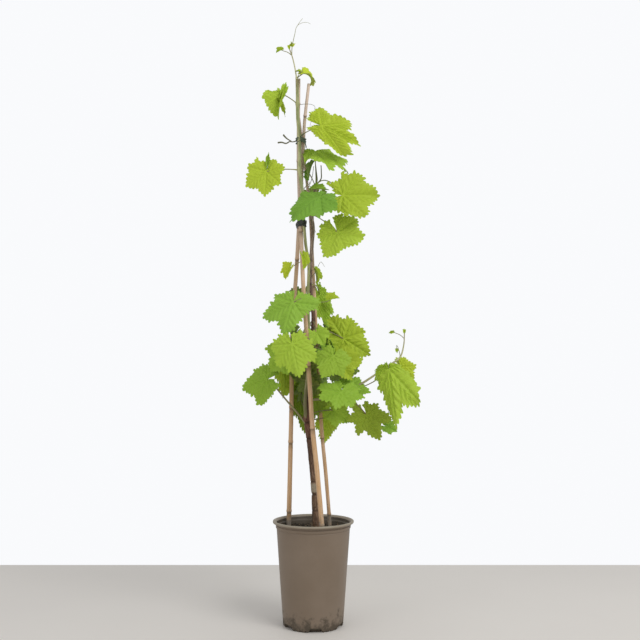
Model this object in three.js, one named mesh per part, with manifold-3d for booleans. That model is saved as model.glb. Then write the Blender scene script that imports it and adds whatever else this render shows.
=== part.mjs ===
// A young grapevine in a tall nursery pot, trained up three bamboo canes.
// Millimetres, +Z up, +X to the plant's right, and the plant's front towards -Y.
// The origin is the centre of the pot's flat underside.
//
// Every stem, cane and leaf stalk is a limb: a round section carried along a smooth axis.
// Every leaf is a thin cupped blade of five lobes, joined to its stalk.
// A limb starts on the axis of the stem that carries it, and is cut back to leave `gap` to it.

import * as THREE from 'three';
import { mergeVertices } from 'three/addons/utils/BufferGeometryUtils.js';
import Module from 'manifold-3d';

const wasm = await Module();
wasm.setup();

// ---------- driving dimensions ----------

const gap = 0.3; // between pieces that touch

const pot = {
  height: 206,
  lipRadius: 82.5,
  lipHeight: 6,
  lipRound: 1.5,
  collarRadius: 76.5, // the wall between the lip and the step
  neckRadius: 74.7, // the wall just below the step
  footRadius: 60.4,
  footChamfer: 2.5,
  stepDepth: 10, // of the step and its ledge inside, below the top of the lip
  wall: 2,
  floor: 2.5,
  notches: 6, // drainage notches round the foot
  notchWidth: 25,
  notchHeight: 8.5,
  notchDepth: 9, // in from the foot's edge
  notchBearing: -87,
  sides: 30,
};

const compost = {
  top: 188, // 18 mm below the lip, which leaves room for watering
  sides: 24,
};

const tie = { thickness: 1.4, height: 14, sides: 12 };

const cane = {
  footRadius: 5,
  tipRadius: 3.4,
  sides: 8,
  steps: 12,
};

const blade = {
  thickness: 1.8,
  rimThickness: 1.2,
  // Half of an outline, from the tip round to the notch at the stalk: [degrees, share of the length].
  // Lobes stand at the tip, near 50, near 100 and near 150 degrees, with notches between them.
  outline: [[0, 1], [28, 0.72], [44, 0.87], [60, 0.84], [79, 0.65], [102, 0.76], [128, 0.58], [154, 0.56],
    [180, 0.1]],
  smallOutline: [[0, 1], [25, 0.68], [50, 0.82], [80, 0.62], [106, 0.68], [145, 0.5], [180, 0.12]],
  smallSize: 50, // a leaf no longer than this has the plainer outline
  innerRing: 0.5, // the share of each radius where the blade may bend
};

const stalk = { footRadius: 1.4, headRadius: 1, sides: 3, steps: 4, arch: 0.1 };

const colours = {
  pot: 0x7a6c5f,
  compost: 0x3e392e,
  cane: 0xb19472,
  bark: 0x6a4c34,
  greenStem: 0x8f9a5c,
  tie: 0x2f4a34,
  young: 0xa9b93f,
  bright: 0x9bb54f,
  mid: 0x88a946,
  cool: 0x7da145,
  dark: 0x6e7f2c,
};

// ---------- stems ----------
// Each axis runs from foot to tip through hand-set points [x, y, z].

const canes = {
  cane_left: [[-49.5, 35.5, 125], [-51, 36, 190], [-48, 30, 330], [-46, 24, 440], [-44, 18, 600],
    [-36, 12, 720], [-31, 7, 810], [-22, -1, 977], [-19, -3, 1036], [-10, -7, 1118]],
  cane_front: [[21, -52, 75], [18, -51, 190], [9, -45, 300], [0, -40, 382], [-6, -35, 464],
    [-15, -27, 602], [-20, -23, 673], [-25, -17, 776], [-30, -12, 890], [-32, -8, 975], [-31, -4, 1130]],
  cane_back: [[33, 44, 75], [34, 43, 190], [26, 37, 293], [18, 33, 380], [5, 24, 606],
    [-3, 17, 765], [-8, 12, 850], [-20, 9, 960], [-31, 6, 1048]],
};

const stems = {
  trunk: {
    axis: [[7, -5, 180], [4, -5, 235], [2, -5, 271], [-2, -5, 310],
      [-6, -5, 355], [-9, -5, 385], [-13, -6, 410], [-14, -6, 436]],
    // [height, radius]: root flare, clean stem, swollen graft, and the thick head
    radii: [[180, 9], [190, 8.2], [202, 7.4], [235, 6.5], [258, 6], [272, 6.8], [284, 6.2], [300, 6],
      [350, 5.8], [380, 7], [410, 7.2], [436, 5.4]],
    sides: 10,
    steps: 18,
    colour: colours.bark,
  },
  arm: {
    carrier: 'trunk',
    axis: [[-14, -6, 428], [-12, -2, 500], [-5, 1, 560], [0, 2, 621], [-6, 2, 678], [-7, 2, 716],
      [-3, 2, 773], [-1, 2, 809], [-3, 1, 834], [4, 0, 890], [7, 0, 906]],
    radii: [[428, 4.8], [620, 4.3], [800, 4], [906, 3.6]],
    sides: 7,
    steps: 14,
    colour: colours.bark,
  },
  leader: {
    carrier: 'trunk',
    axis: [[-14, -7, 405], [-17, -15, 440], [-12, -15, 500], [-9, -12, 560], [-10, -8, 614],
      [-11, -7, 676], [-10, -9, 731], [-16, -14, 771], [-20, -23, 820], [-22, -25, 856],
      [-24, -24, 888], [-29, -21, 926], [-29, -18, 973], [-30, -16, 1005], [-33, -14, 1040],
      [-34, -13, 1085], [-35, -13, 1127]],
    radii: [[405, 3.4], [700, 2.9], [1127, 2.5]],
    sides: 6,
    steps: 22,
    colour: colours.greenStem,
  },
  growing_tip: {
    carrier: 'leader',
    axis: [[-35, -13, 1122], [-40, -13, 1154], [-46, -13, 1178], [-45, -13, 1201], [-40, -13, 1224],
      [-37, -13, 1238], [-29, -13, 1252], [-23, -13, 1261]],
    fork: [[-33, -13, 1246], [-22, -13, 1252], [-13, -13, 1253], [-6, -13, 1249]],
    radii: [[1122, 1.7], [1200, 1.2], [1261, 0.7]],
    sides: 4,
    steps: 12,
    colour: colours.greenStem,
  },
  left_shoot: {
    carrier: 'trunk',
    axis: [[-13, -6, 398], [-30, -9, 420], [-50, -11, 443], [-83, -14, 482]],
    radii: [[398, 2.4], [482, 1.4]],
    sides: 5,
    steps: 5,
    colour: colours.greenStem,
  },
  right_shoot: {
    carrier: 'arm',
    axis: [[-12, -3, 449], [20, -14, 452], [55, -20, 460], [75, -21, 470], [104, -22, 486],
      [151, -22, 518], [177, -22, 536], [185, -22, 560], [187, -22, 588]],
    radii: [[452, 2.6], [520, 1.9], [588, 1]],
    sides: 5,
    steps: 13,
    colour: colours.greenStem,
  },
};

// ---------- shapes ----------

/** A mesh's geometry as a solid, so that it can be joined and cut. */
function solid(geometry) {
  const bare = geometry.clone();
  bare.deleteAttribute('normal');
  bare.deleteAttribute('uv');
  const merged = mergeVertices(bare, 1e-4);
  const corners = Array.from(merged.index.array);
  const triangles = [];
  for (let i = 0; i < corners.length; i += 3) {
    const [a, b, c] = corners.slice(i, i + 3);
    if (a !== b && b !== c && c !== a) triangles.push(a, b, c); // a pole's triangles have only two corners
  }
  return new wasm.Manifold(new wasm.Mesh({
    numProp: 3,
    vertProperties: new Float32Array(merged.attributes.position.array),
    triVerts: new Uint32Array(triangles),
  }));
}

/** A solid as a geometry, for a THREE.Mesh. */
function geometryOf(body) {
  const mesh = body.getMesh();
  const geometry = new THREE.BufferGeometry();
  geometry.setAttribute('position', new THREE.Float32BufferAttribute(mesh.vertProperties, 3));
  geometry.setIndex(Array.from(mesh.triVerts));
  return geometry;
}

/** Straight-line interpolation in a list of [key, value] pairs, held at both ends. */
function interpolate(pairs, key) {
  const next = pairs.findIndex(([k]) => k >= key);
  if (next <= 0) return pairs.at(next)[1];
  const [[k0, v0], [k1, v1]] = pairs.slice(next - 1, next + 1);
  return v0 + ((v1 - v0) * (key - k0)) / (k1 - k0);
}

/** The smooth axis through a list of points. */
function axisOf(points) {
  const vectors = points.map(([x, y, z]) => new THREE.Vector3(x, y, z));
  return new THREE.CatmullRomCurve3(vectors, false, 'centripetal');
}

/**
 * A limb: rings of `sides` points stand square to the axis at equal steps, as wide as radiusAt says,
 * and a fan of triangles closes each end.
 */
function limb(axis, radiusAt, sides, steps) {
  const frames = axis.computeFrenetFrames(steps, false);
  const positions = [];
  for (let i = 0; i <= steps; i += 1) {
    const centre = axis.getPointAt(i / steps);
    const radius = radiusAt(centre, i / steps);
    for (let j = 0; j < sides; j += 1) {
      const turn = (2 * Math.PI * j) / sides;
      const point = centre.clone()
        .addScaledVector(frames.normals[i], radius * Math.cos(turn))
        .addScaledVector(frames.binormals[i], radius * Math.sin(turn));
      positions.push(point.x, point.y, point.z);
    }
  }
  const foot = axis.getPointAt(0);
  const tip = axis.getPointAt(1);
  positions.push(foot.x, foot.y, foot.z, tip.x, tip.y, tip.z);
  const footIndex = (steps + 1) * sides;
  const faces = [];
  for (let j = 0; j < sides; j += 1) {
    const k = (j + 1) % sides;
    for (let i = 0; i < steps; i += 1) {
      const [a, b, c, d] = [i * sides + j, i * sides + k, (i + 1) * sides + j, (i + 1) * sides + k];
      faces.push(a, b, d, a, d, c);
    }
    faces.push(footIndex, k, j, footIndex + 1, steps * sides + j, steps * sides + k);
  }
  const geometry = new THREE.BufferGeometry();
  geometry.setAttribute('position', new THREE.Float32BufferAttribute(positions, 3));
  geometry.setIndex(faces);
  return geometry;
}

/** The limb of a stem, grown by `extra` all round when it is used to cut its neighbours. */
function stemLimb(stem, extra = 0) {
  const radiusAt = (centre) => interpolate(stem.radii, centre.z) + extra;
  return limb(axisOf(stem.axis), radiusAt, stem.sides, stem.steps);
}

/** The limb of a bamboo cane. */
function caneLimb(points, extra = 0) {
  const radiusAt = (centre, share) => THREE.MathUtils.lerp(cane.footRadius, cane.tipRadius, share) + extra;
  return limb(axisOf(points), radiusAt, cane.sides, cane.steps);
}

/** The point of a stem's axis at a height. Every stem climbs all the way, so there is only one. */
function pointAtHeight(stem, height) {
  const axis = axisOf(stem.axis);
  let low = 0;
  let high = 1;
  for (let i = 0; i < 30; i += 1) {
    const middle = (low + high) / 2;
    if (axis.getPointAt(middle).z < height) low = middle;
    else high = middle;
  }
  return axis.getPointAt(low);
}

/**
 * A leaf blade. A point at distance r and angle t from the heart has u = r cos t along the midrib and
 * v = r sin t across it. The halves fold up along the midrib, then the blade bends down along u as an arc.
 * `width` widens v, and `back` shortens the lobes behind the heart.
 * `along`, `across` and `face` are its axes in the plant.
 */
function bladeGeometry(leaf, along, across, face) {
  const half = (leaf.size > blade.smallSize ? blade.outline : blade.smallOutline)
    .map(([degrees, share]) => [THREE.MathUtils.degToRad(degrees), share]);
  const outline = [...half, ...half.slice(1, -1).reverse().map(([t, share]) => [-t, share])];
  const fold = THREE.MathUtils.degToRad(leaf.fold);
  const bend = THREE.MathUtils.degToRad(leaf.droop) / leaf.size;
  const heart = new THREE.Vector3(...leaf.heart);

  const place = (t, r, lift) => {
    const behind = THREE.MathUtils.smoothstep(Math.abs(t), Math.PI / 3, (2 * Math.PI) / 3);
    const reach = r * leaf.size * (1 - (1 - leaf.back) * behind);
    const u = reach * Math.cos(t);
    const v = reach * Math.sin(t) * leaf.width;
    const side = v * Math.cos(fold);
    const rise = Math.abs(v) * Math.sin(fold) + lift;
    const turned = bend * u;
    const length = Math.abs(bend) < 1e-6 ? u : Math.sin(turned) / bend;
    const fall = Math.abs(bend) < 1e-6 ? 0 : (1 - Math.cos(turned)) / bend;
    return heart.clone()
      .addScaledVector(along, length + rise * Math.sin(turned))
      .addScaledVector(across, side)
      .addScaledVector(face, rise * Math.cos(turned) - fall);
  };

  // Each layer has the heart, an inner ring of every other outline point, and the outline.
  const count = outline.length;
  const inner = count / 2;
  const points = [];
  for (const side of [1, -1]) {
    points.push(place(0, 0, (side * blade.thickness) / 2));
    outline.filter((unused, j) => j % 2 === 0).forEach(([t, share]) => {
      points.push(place(t, share * blade.innerRing, (side * blade.thickness) / 2));
    });
    outline.forEach(([t, share]) => points.push(place(t, share, (side * blade.rimThickness) / 2)));
  }
  const under = 1 + inner + count;
  const faces = [];
  const pair = (a, b, c) => faces.push(a, b, c, a + under, c + under, b + under);
  for (let j = 0; j < inner; j += 1) {
    const [near, nearNext] = [1 + j, 1 + ((j + 1) % inner)];
    const rim = 1 + inner;
    const [far, between, farNext] = [rim + 2 * j, rim + 2 * j + 1, rim + ((2 * j + 2) % count)];
    pair(0, near, nearNext);
    pair(near, far, between);
    pair(near, between, nearNext);
    pair(nearNext, between, farNext);
  }
  for (let j = 0; j < count; j += 1) {
    const [outer, outerNext] = [1 + inner + j, 1 + inner + ((j + 1) % count)];
    faces.push(outer, outer + under, outerNext + under, outer, outerNext + under, outerNext);
  }
  const geometry = new THREE.BufferGeometry().setFromPoints(points);
  geometry.setIndex(faces);
  return geometry;
}

/**
 * A leaf's axes. `faces` is the bearing and tilt of the upper side, and `tip` the clock turn of the midrib
 * from hanging.
 */
function leafAxes(leaf) {
  const [bearing, tilt, tip] = [...leaf.faces, leaf.tip].map(THREE.MathUtils.degToRad);
  const face = new THREE.Vector3(
    Math.cos(tilt) * Math.cos(bearing),
    Math.cos(tilt) * Math.sin(bearing),
    Math.sin(tilt),
  );
  const level = new THREE.Vector3(-Math.sin(bearing), Math.cos(bearing), 0);
  const rise = face.clone().cross(level);
  const along = level.clone().multiplyScalar(Math.sin(tip)).addScaledVector(rise, -Math.cos(tip));
  const across = face.clone().cross(along);
  return { along, across, face };
}

/** A leaf: its stalk arches from the carrying stem to the heart of its blade. */
function leafBody(leaf) {
  const { along, across, face } = leafAxes(leaf);
  const foot = pointAtHeight(stems[leaf.stem], leaf.at);
  const heart = new THREE.Vector3(...leaf.heart);
  const middle = leaf.via ? new THREE.Vector3(...leaf.via) : foot.clone().lerp(heart, 0.5);
  if (!leaf.via) middle.z += stalk.arch * foot.distanceTo(heart);
  const axis = new THREE.QuadraticBezierCurve3(foot, middle, heart);
  const radiusAt = (centre, share) => THREE.MathUtils.lerp(stalk.footRadius, stalk.headRadius, share);
  const stem = solid(limb(axis, radiusAt, stalk.sides, stalk.steps));
  return solid(bladeGeometry(leaf, along, across, face)).add(stem);
}

/** A ring of tape drawn tight round some stems at one height: the convex outline of their sections. */
function tieBody(members, height) {
  const sections = members.map(([axis, radius]) => {
    const at = pointAtHeight({ axis }, height);
    return { x: at.x, y: at.y, radius };
  });
  const outline = (extra) => Array.from({ length: tie.sides }, (unused, i) => {
    const turn = (2 * Math.PI * i) / tie.sides;
    const [c, s] = [Math.cos(turn), Math.sin(turn)];
    const reach = ({ x, y, radius }) => x * c + y * s + radius;
    const far = sections.reduce((best, next) => (reach(next) > reach(best) ? next : best));
    return new THREE.Vector2(far.x + (far.radius + extra) * c, far.y + (far.radius + extra) * s);
  });
  const ring = new THREE.Shape(outline(gap + tie.thickness));
  ring.holes.push(new THREE.Path(outline(gap)));
  const geometry = new THREE.ExtrudeGeometry(ring, { depth: tie.height, bevelEnabled: false });
  geometry.translate(0, 0, height - tie.height / 2);
  return solid(geometry);
}

/** The pot: one turned shell, with drainage notches cut round its foot. */
function potBody() {
  const ledge = pot.height - pot.stepDepth;
  const lipFoot = pot.height - pot.lipHeight;
  const profile = [
    [0, 0], [pot.footRadius - pot.footChamfer, 0], [pot.footRadius, pot.footChamfer],
    [pot.neckRadius, ledge - 2], [pot.collarRadius, ledge], [pot.collarRadius, lipFoot],
    [pot.lipRadius - pot.lipRound, lipFoot], [pot.lipRadius, lipFoot + pot.lipRound],
    [pot.lipRadius, pot.height - pot.lipRound], [pot.lipRadius - pot.lipRound, pot.height],
    [pot.collarRadius - pot.wall, pot.height], [pot.collarRadius - pot.wall, ledge],
    [pot.neckRadius - pot.wall, ledge - 2], [pot.footRadius - pot.wall, pot.floor], [0, pot.floor],
  ].map(([x, y]) => new THREE.Vector2(x, y));
  const turned = new THREE.LatheGeometry(profile, pot.sides).rotateX(Math.PI / 2);
  let body = solid(turned);
  for (let i = 0; i < pot.notches; i += 1) {
    const length = 2 * pot.notchDepth;
    const notch = new THREE.BoxGeometry(length, pot.notchWidth, 2 * pot.notchHeight)
      .translate(pot.footRadius, 0, 0)
      .rotateZ(THREE.MathUtils.degToRad(pot.notchBearing + (360 * i) / pot.notches));
    body = body.subtract(solid(notch));
  }
  return body;
}

/** The compost: one turned body that fills the pot, with a socket for each cane. */
function compostBody() {
  const inside = (height) => {
    const share = (height - pot.footChamfer) / (pot.height - pot.stepDepth - 2 - pot.footChamfer);
    return THREE.MathUtils.lerp(pot.footRadius, pot.neckRadius, share) - pot.wall - 2 * gap;
  };
  const foot = pot.floor + gap;
  const profile = [[0, foot], [inside(foot), foot], [inside(compost.top), compost.top], [0, compost.top]]
    .map(([x, y]) => new THREE.Vector2(x, y));
  let body = solid(new THREE.LatheGeometry(profile, compost.sides).rotateX(Math.PI / 2));
  for (const points of Object.values(canes)) body = body.subtract(solid(caneLimb(points, gap)));
  return body;
}

// ---------- leaves ----------
// heart: where the stalk meets the blade. faces: bearing and tilt of the upper side, so [-90, 0] faces the
// front upright. tip: the midrib's clock turn from hanging straight down, positive to the plant's right as
// it is faced. size: heart to tip. width, back: shares for the half width and for the lobes behind the
// heart. fold: how far each half folds up along the midrib. droop: how far the blade bends down by its tip.
// via: a point that pulls the stalk out of its arch, round a cane.

const leafColumns = ['name', 'stem', 'at', 'heart', 'faces', 'tip', 'size', 'width', 'back', 'fold', 'droop',
  'tint', 'via'];
const leaves = [
  ['leaf_top_curled', 'growing_tip', 1127, [-22, -16, 1137], [-90, 48], 95, 40, 0.8, 0.7, 20, 120, 'young'],
  ['leaf_top_left', 'leader', 1072, [-67, -15, 1093], [-125, 5], -12, 60, 0.95, 0.3, 40, 15, 'bright'],
  ['leaf_top_right', 'leader', 1000, [17, -52, 1011], [-85, 8], 72, 90, 0.52, 0.8, -12, 22, 'young'],
  ['leaf_upper_left', 'leader', 927, [-98, -20, 924], [-95, 8], -2, 58, 0.97, 1, 8, 10, 'young'],
  ['leaf_saddle', 'arm', 900, [3, -8, 971], [-92, 58], 66, 90, 0.62, 0.5, -12, 55, 'mid'],
  ['leaf_small_folded', 'arm', 896, [-8, -12, 921], [-170, 10], -161, 40, 0.5, 0.8, 40, 10, 'cool'],
  ['leaf_upper_right', 'arm', 902, [61, -35, 870], [-90, 12], 94, 76, 0.97, 0.95, 6, 12, 'young',
    [28, 0, 928]],
  ['leaf_over_canes', 'leader', 850, [14, -66, 860], [-95, 45], -44, 72, 1, 0.8, -10, 35, 'cool'],
  ['leaf_ruffled', 'arm', 865, [5, -16, 888], [-90, 60], 85, 28, 1, 1, 20, 10, 'mid'],
  ['leaf_under_right', 'arm', 838, [50, -20, 796], [-90, 5], 26, 63, 1, 1, -8, 12, 'bright'],
  ['leaf_young_left', 'leader', 742, [-49, -10, 721], [-120, 10], -28, 25, 1, 1, 40, 30, 'young'],
  ['leaf_young_front', 'leader', 748, [-21, -37, 741], [-60, 20], 4, 27, 0.7, 1, 40, 50, 'young'],
  ['leaf_young_back', 'arm', 700, [4, -2, 714], [-30, 10], 14, 24, 0.8, 1, 45, 30, 'young'],
  ['leaf_shoulder_left', 'leader', 665, [-40, -60, 645], [-98, 18], -14, 76, 1, 0.9, -14, 25, 'cool',
    [0, -60, 665]],
  ['leaf_hanging_edge', 'arm', 690, [12, 43, 672], [-62, 8], 16, 80, 0.45, 0.7, 6, 15, 'mid', [14, 2, 690]],
  ['leaf_young_right', 'arm', 655, [36, 26, 662], [-80, 40], 102, 22, 1, 1, 40, 10, 'young', [30, -16, 646]],
  ['leaf_shoulder_right', 'arm', 600, [63, 5, 576], [-90, 10], 58, 76, 1, 0.95, 5, 20, 'young'],
  ['leaf_front_left', 'leader', 552, [-41, -85, 560], [-92, 12], 13, 70, 0.95, 0.95, -10, 20, 'bright',
    [6, -60, 552]],
  ['leaf_behind_left', 'leader', 560, [-54, -32, 546], [-110, 10], -45, 54, 1, 0.9, 10, 20, 'mid'],
  ['leaf_low_left', 'left_shoot', 478, [-95, -15, 491], [-110, 15], -70, 62, 1, 0.9, -8, 20, 'mid'],
  ['leaf_behind_cane', 'arm', 535, [-58, 41, 532], [-50, 5], 2, 66, 0.9, 0.9, 12, 15, 'bright'],
  ['leaf_front_centre', 'leader', 560, [40, -62, 537], [-85, 20], -28, 56, 1, 1, -10, 20, 'bright'],
  ['leaf_front_low', 'right_shoot', 454, [55, -75, 465], [-85, 42], -20, 58, 1.15, 1, -8, 25, 'mid'],
  ['leaf_middle_right', 'arm', 560, [52, -22, 532], [-90, 15], 32, 50, 1, 1, 8, 15, 'young'],
  ['leaf_lowest', 'trunk', 408, [33, 52, 419], [-80, 0], -12, 66, 0.6, 1, 15, 10, 'bright', [41, 8, 412]],
  ['leaf_low_shaded', 'trunk', 418, [41, 20, 428], [-80, 20], 55, 44, 1, 1, 10, 15, 'mid'],
  ['leaf_low_right', 'right_shoot', 462, [110, 12, 419], [-90, -5], 28, 60, 0.97, 1, 4, 8, 'dark'],
  ['leaf_low_right_small', 'right_shoot', 512, [153, 30, 393], [-90, 20], 67, 25, 1, 1, 30, 10, 'cool',
    [172, 30, 490]],
  ['leaf_far_right', 'right_shoot', 472, [153, -42, 512], [-114, 5], 9, 121, 0.56, 0.3, -14, 15, 'bright',
   [121, 0, 476]],
  ['leaf_far_right_young', 'right_shoot', 530, [180, 8, 518], [-80, 10], 46, 54, 0.8, 0.8, 10, 10, 'young'],
  ['leaf_centre_small', 'arm', 612, [8, -50, 584], [-90, 15], 29, 29, 1, 1, 15, 10, 'mid'],
  ['leaf_inner_left', 'trunk', 425, [-23, 48, 473], [-78, 0], 5, 102, 0.46, 0.5, 10, 10, 'dark', [-32, 18, 452]],
  ['leaf_inner_low', 'arm', 470, [4, 20, 458], [-80, 0], 10, 42, 0.9, 1, 10, 10, 'dark'],
  ['leaf_right_edge', 'right_shoot', 458, [67, -30, 471], [-90, 50], 83, 50, 1, 1, 10, 10, 'mid'],
  ['leaf_inner_right', 'arm', 596, [27, 20, 580], [-90, 20], 40, 38, 1, 1, 10, 10, 'dark', [24, 0, 594]],
  ['leaf_back_top', 'arm', 880, [8, 52, 886], [80, 20], 20, 48, 1, 1, 8, 15, 'mid'],
  ['leaf_back_shoulder', 'arm', 660, [-24, 52, 662], [110, 20], 30, 54, 1, 1, -8, 20, 'mid'],
  ['leaf_back_middle', 'arm', 614, [28, 74, 590], [75, 15], -25, 66, 1, 1, -8, 20, 'cool',
    [-22, 30, 605]],
  ['leaf_back_left', 'leader', 560, [-42, 90, 552], [110, 10], 15, 66, 1, 1, -8, 20, 'bright'],
  ['leaf_back_right', 'arm', 530, [52, 62, 524], [60, 15], -20, 58, 1, 1, 6, 20, 'mid', [40, 10, 534]],
  ['leaf_back_low', 'arm', 500, [-8, 104, 494], [95, 5], 0, 60, 1, 1, 6, 15, 'cool'],
].map((row) => Object.fromEntries(row.map((value, i) => [leafColumns[i], value])));

// ---------- the plant ----------

const group = new THREE.Group();

/** Adds one named piece to the plant. */
function add(name, body, color, roughness = 0.6) {
  const material = new THREE.MeshStandardMaterial({ color, roughness, metalness: 0 });
  const mesh = new THREE.Mesh(geometryOf(body), material);
  mesh.name = name;
  group.add(mesh);
}

/** A stem's solid: its limb and fork, cut flat above the compost and clear of the stem that carries it. */
function stemBody(stem) {
  const air = new THREE.BoxGeometry(1000, 1000, 2000).translate(0, 0, 1000 + compost.top + gap);
  let body = solid(stemLimb(stem));
  if (stem.fork) body = body.add(solid(limb(axisOf(stem.fork), () => 0.7, 4, 4)));
  if (stem.carrier) body = body.subtract(solid(stemLimb(stems[stem.carrier], gap)));
  return body.intersect(solid(air));
}

add('pot', potBody(), colours.pot, 0.5);
add('compost', compostBody(), colours.compost, 1);
for (const [name, points] of Object.entries(canes)) add(name, solid(caneLimb(points)), colours.cane);
for (const [name, stem] of Object.entries(stems)) add(name, stemBody(stem), stem.colour, 0.7);
for (const leaf of leaves) {
  add(leaf.name, leafBody(leaf).subtract(solid(stemLimb(stems[leaf.stem], gap))), colours[leaf.tint]);
}

const tieHeights = { tie_top: 992, tie_middle: 814 };
for (const [name, height] of Object.entries(tieHeights)) {
  const tied = [canes.cane_left, canes.cane_front];
  let body = tieBody([...tied.map((points) => [points, 3.8]), [stems.leader.axis, 2.8]], height);
  for (const points of tied) body = body.subtract(solid(caneLimb(points, gap)));
  add(name, body.subtract(solid(stemLimb(stems.leader, gap))), colours.tie);
}

export default group;
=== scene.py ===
"""The look of a young grapevine in a nursery pot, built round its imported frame.

Every shape is a surface of two parameters, or a section carried along an axis, worked out with numpy.
The layout and the shapes are in millimetres and degrees, as in the frame's own source, and MM makes them
metres. The plant has no joint, so every piece rides on the one body.
"""

import math
from dataclasses import dataclass

import bpy
import numpy as np
from bpy.props import FloatProperty, FloatVectorProperty, IntProperty, PointerProperty
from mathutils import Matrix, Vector


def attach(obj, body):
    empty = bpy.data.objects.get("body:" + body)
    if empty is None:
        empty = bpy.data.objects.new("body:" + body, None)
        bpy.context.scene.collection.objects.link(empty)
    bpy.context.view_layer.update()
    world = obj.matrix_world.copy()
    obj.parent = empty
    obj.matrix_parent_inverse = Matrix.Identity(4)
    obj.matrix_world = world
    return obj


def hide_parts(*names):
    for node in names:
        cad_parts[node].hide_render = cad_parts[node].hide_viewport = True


bl_info = {
    "name": "Potted Grapevine",
    "version": (1, 0, 0),
    "blender": (4, 5, 0),
    "location": "View3D > Sidebar > Grapevine",
    "description": "Builds a young grapevine in a nursery pot, trained up three bamboo canes",
    "category": "Add Mesh",
}

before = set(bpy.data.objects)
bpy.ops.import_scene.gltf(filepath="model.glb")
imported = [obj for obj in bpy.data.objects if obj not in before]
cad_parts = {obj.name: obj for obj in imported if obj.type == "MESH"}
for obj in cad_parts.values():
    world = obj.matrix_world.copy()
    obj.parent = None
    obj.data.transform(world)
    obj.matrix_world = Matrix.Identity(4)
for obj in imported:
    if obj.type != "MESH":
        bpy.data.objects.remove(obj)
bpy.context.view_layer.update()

MM = 0.001
TURN = 2 * math.pi

# ---------- the layout of the plant ----------
# Each axis runs from foot to tip through given points [x, y, z].

CANES = {
    "cane_left": [[-51, 36, 184], [-51, 36, 192], [-48, 30, 330], [-46, 24, 440], [-44, 18, 600],
                  [-36, 12, 720], [-31, 7, 810], [-22, -1, 977], [-19, -3, 1036], [-10, -7, 1118]],
    "cane_front": [[18, -51, 184], [18, -51, 192], [9, -45, 300], [0, -40, 382], [-6, -35, 464],
                   [-15, -27, 602], [-20, -23, 673], [-25, -17, 776], [-30, -12, 890], [-32, -8, 975],
                   [-31, -4, 1130]],
    "cane_back": [[34, 43, 184], [34, 43, 192], [26, 37, 293], [18, 33, 380], [5, 24, 606],
                  [-3, 17, 765], [-8, 12, 850], [-20, 9, 960], [-31, 6, 1048]],
}
CANE_RADII = [[184, 5], [800, 4.1], [1125, 3.1]]  # [height, radius]
CANE_JOINTS = {
    "cane_left": [219, 362, 434, 590, 745, 905, 1050],
    "cane_front": [204, 394, 520, 660, 800, 950, 1075],
    "cane_back": [212, 372, 530, 690, 850, 990],
}

TRUNK = [[7, -5, 182], [4, -5, 235], [2, -5, 271], [-2, -5, 310], [-6, -5, 355], [-9, -5, 385],
         [-13, -6, 410], [-14, -6, 436]]
TRUNK_RADII = [[182, 11], [188, 9.2], [196, 8], [210, 7.4], [235, 6.6], [256, 6.1], [260, 5.7],
               [264, 6.8], [278, 6.7], [284, 6.2], [300, 6], [350, 5.9], [374, 6.9], [400, 7.4],
               [412, 7], [425, 5.8], [436, 3]]
ARM = [[-14, -6, 420], [-12, -2, 500], [-5, 1, 560], [0, 2, 621], [-6, 2, 678], [-7, 2, 716],
       [-3, 2, 773], [-1, 2, 809], [-3, 1, 834], [4, 0, 890], [7, 0, 906]]
ARM_RADII = [[420, 5], [500, 4.6], [620, 4.2], [800, 3.9], [898, 3.6], [906, 3]]

# Rings of torn bark, as [height, half width, depth as a share of the radius].
TRUNK_SCARS = [[258, 1.6, 0.14], [284, 1.2, 0.1], [371, 2, 0.12], [404, 1.8, 0.16], [226, 1.5, 0.06]]
ARM_SCARS = [[height, 2.2, 0.12] for height in (455, 500, 531, 562, 598, 655, 690, 740, 838, 880)]

SHOOTS = {
    "leader": {
        "axis": [[-14, -7, 405], [-17, -15, 440], [-12, -15, 500], [-9, -12, 560], [-10, -8, 614],
                 [-11, -7, 676], [-10, -9, 731], [-16, -14, 771], [-20, -23, 820], [-22, -25, 856],
                 [-24, -24, 888], [-29, -21, 926], [-29, -18, 973], [-30, -16, 1005], [-33, -14, 1040],
                 [-34, -13, 1085], [-35, -13, 1127]],
        "radii": [[405, 3.4], [700, 2.9], [880, 3.5], [1000, 3.9], [1127, 3.2]],
    },
    "growing_tip": {
        "axis": [[-35, -13, 1122], [-40, -13, 1154], [-46, -13, 1178], [-51, -13, 1192]],
        "radii": [[1122, 2.2], [1132, 1.4], [1192, 1.1]],
    },
    "left_shoot": {
        "axis": [[-13, -6, 398], [-30, -9, 420], [-50, -11, 443], [-83, -14, 482]],
        "radii": [[398, 2.4], [482, 1.4]],
    },
    "right_shoot": {
        "axis": [[-12, -3, 449], [20, -14, 452], [55, -20, 460], [75, -21, 470], [104, -22, 486],
                 [151, -22, 518], [177, -22, 536], [185, -22, 560], [187, -22, 588]],
        "radii": [[449, 2.6], [520, 1.9], [588, 0.9]],
    },
}

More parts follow.
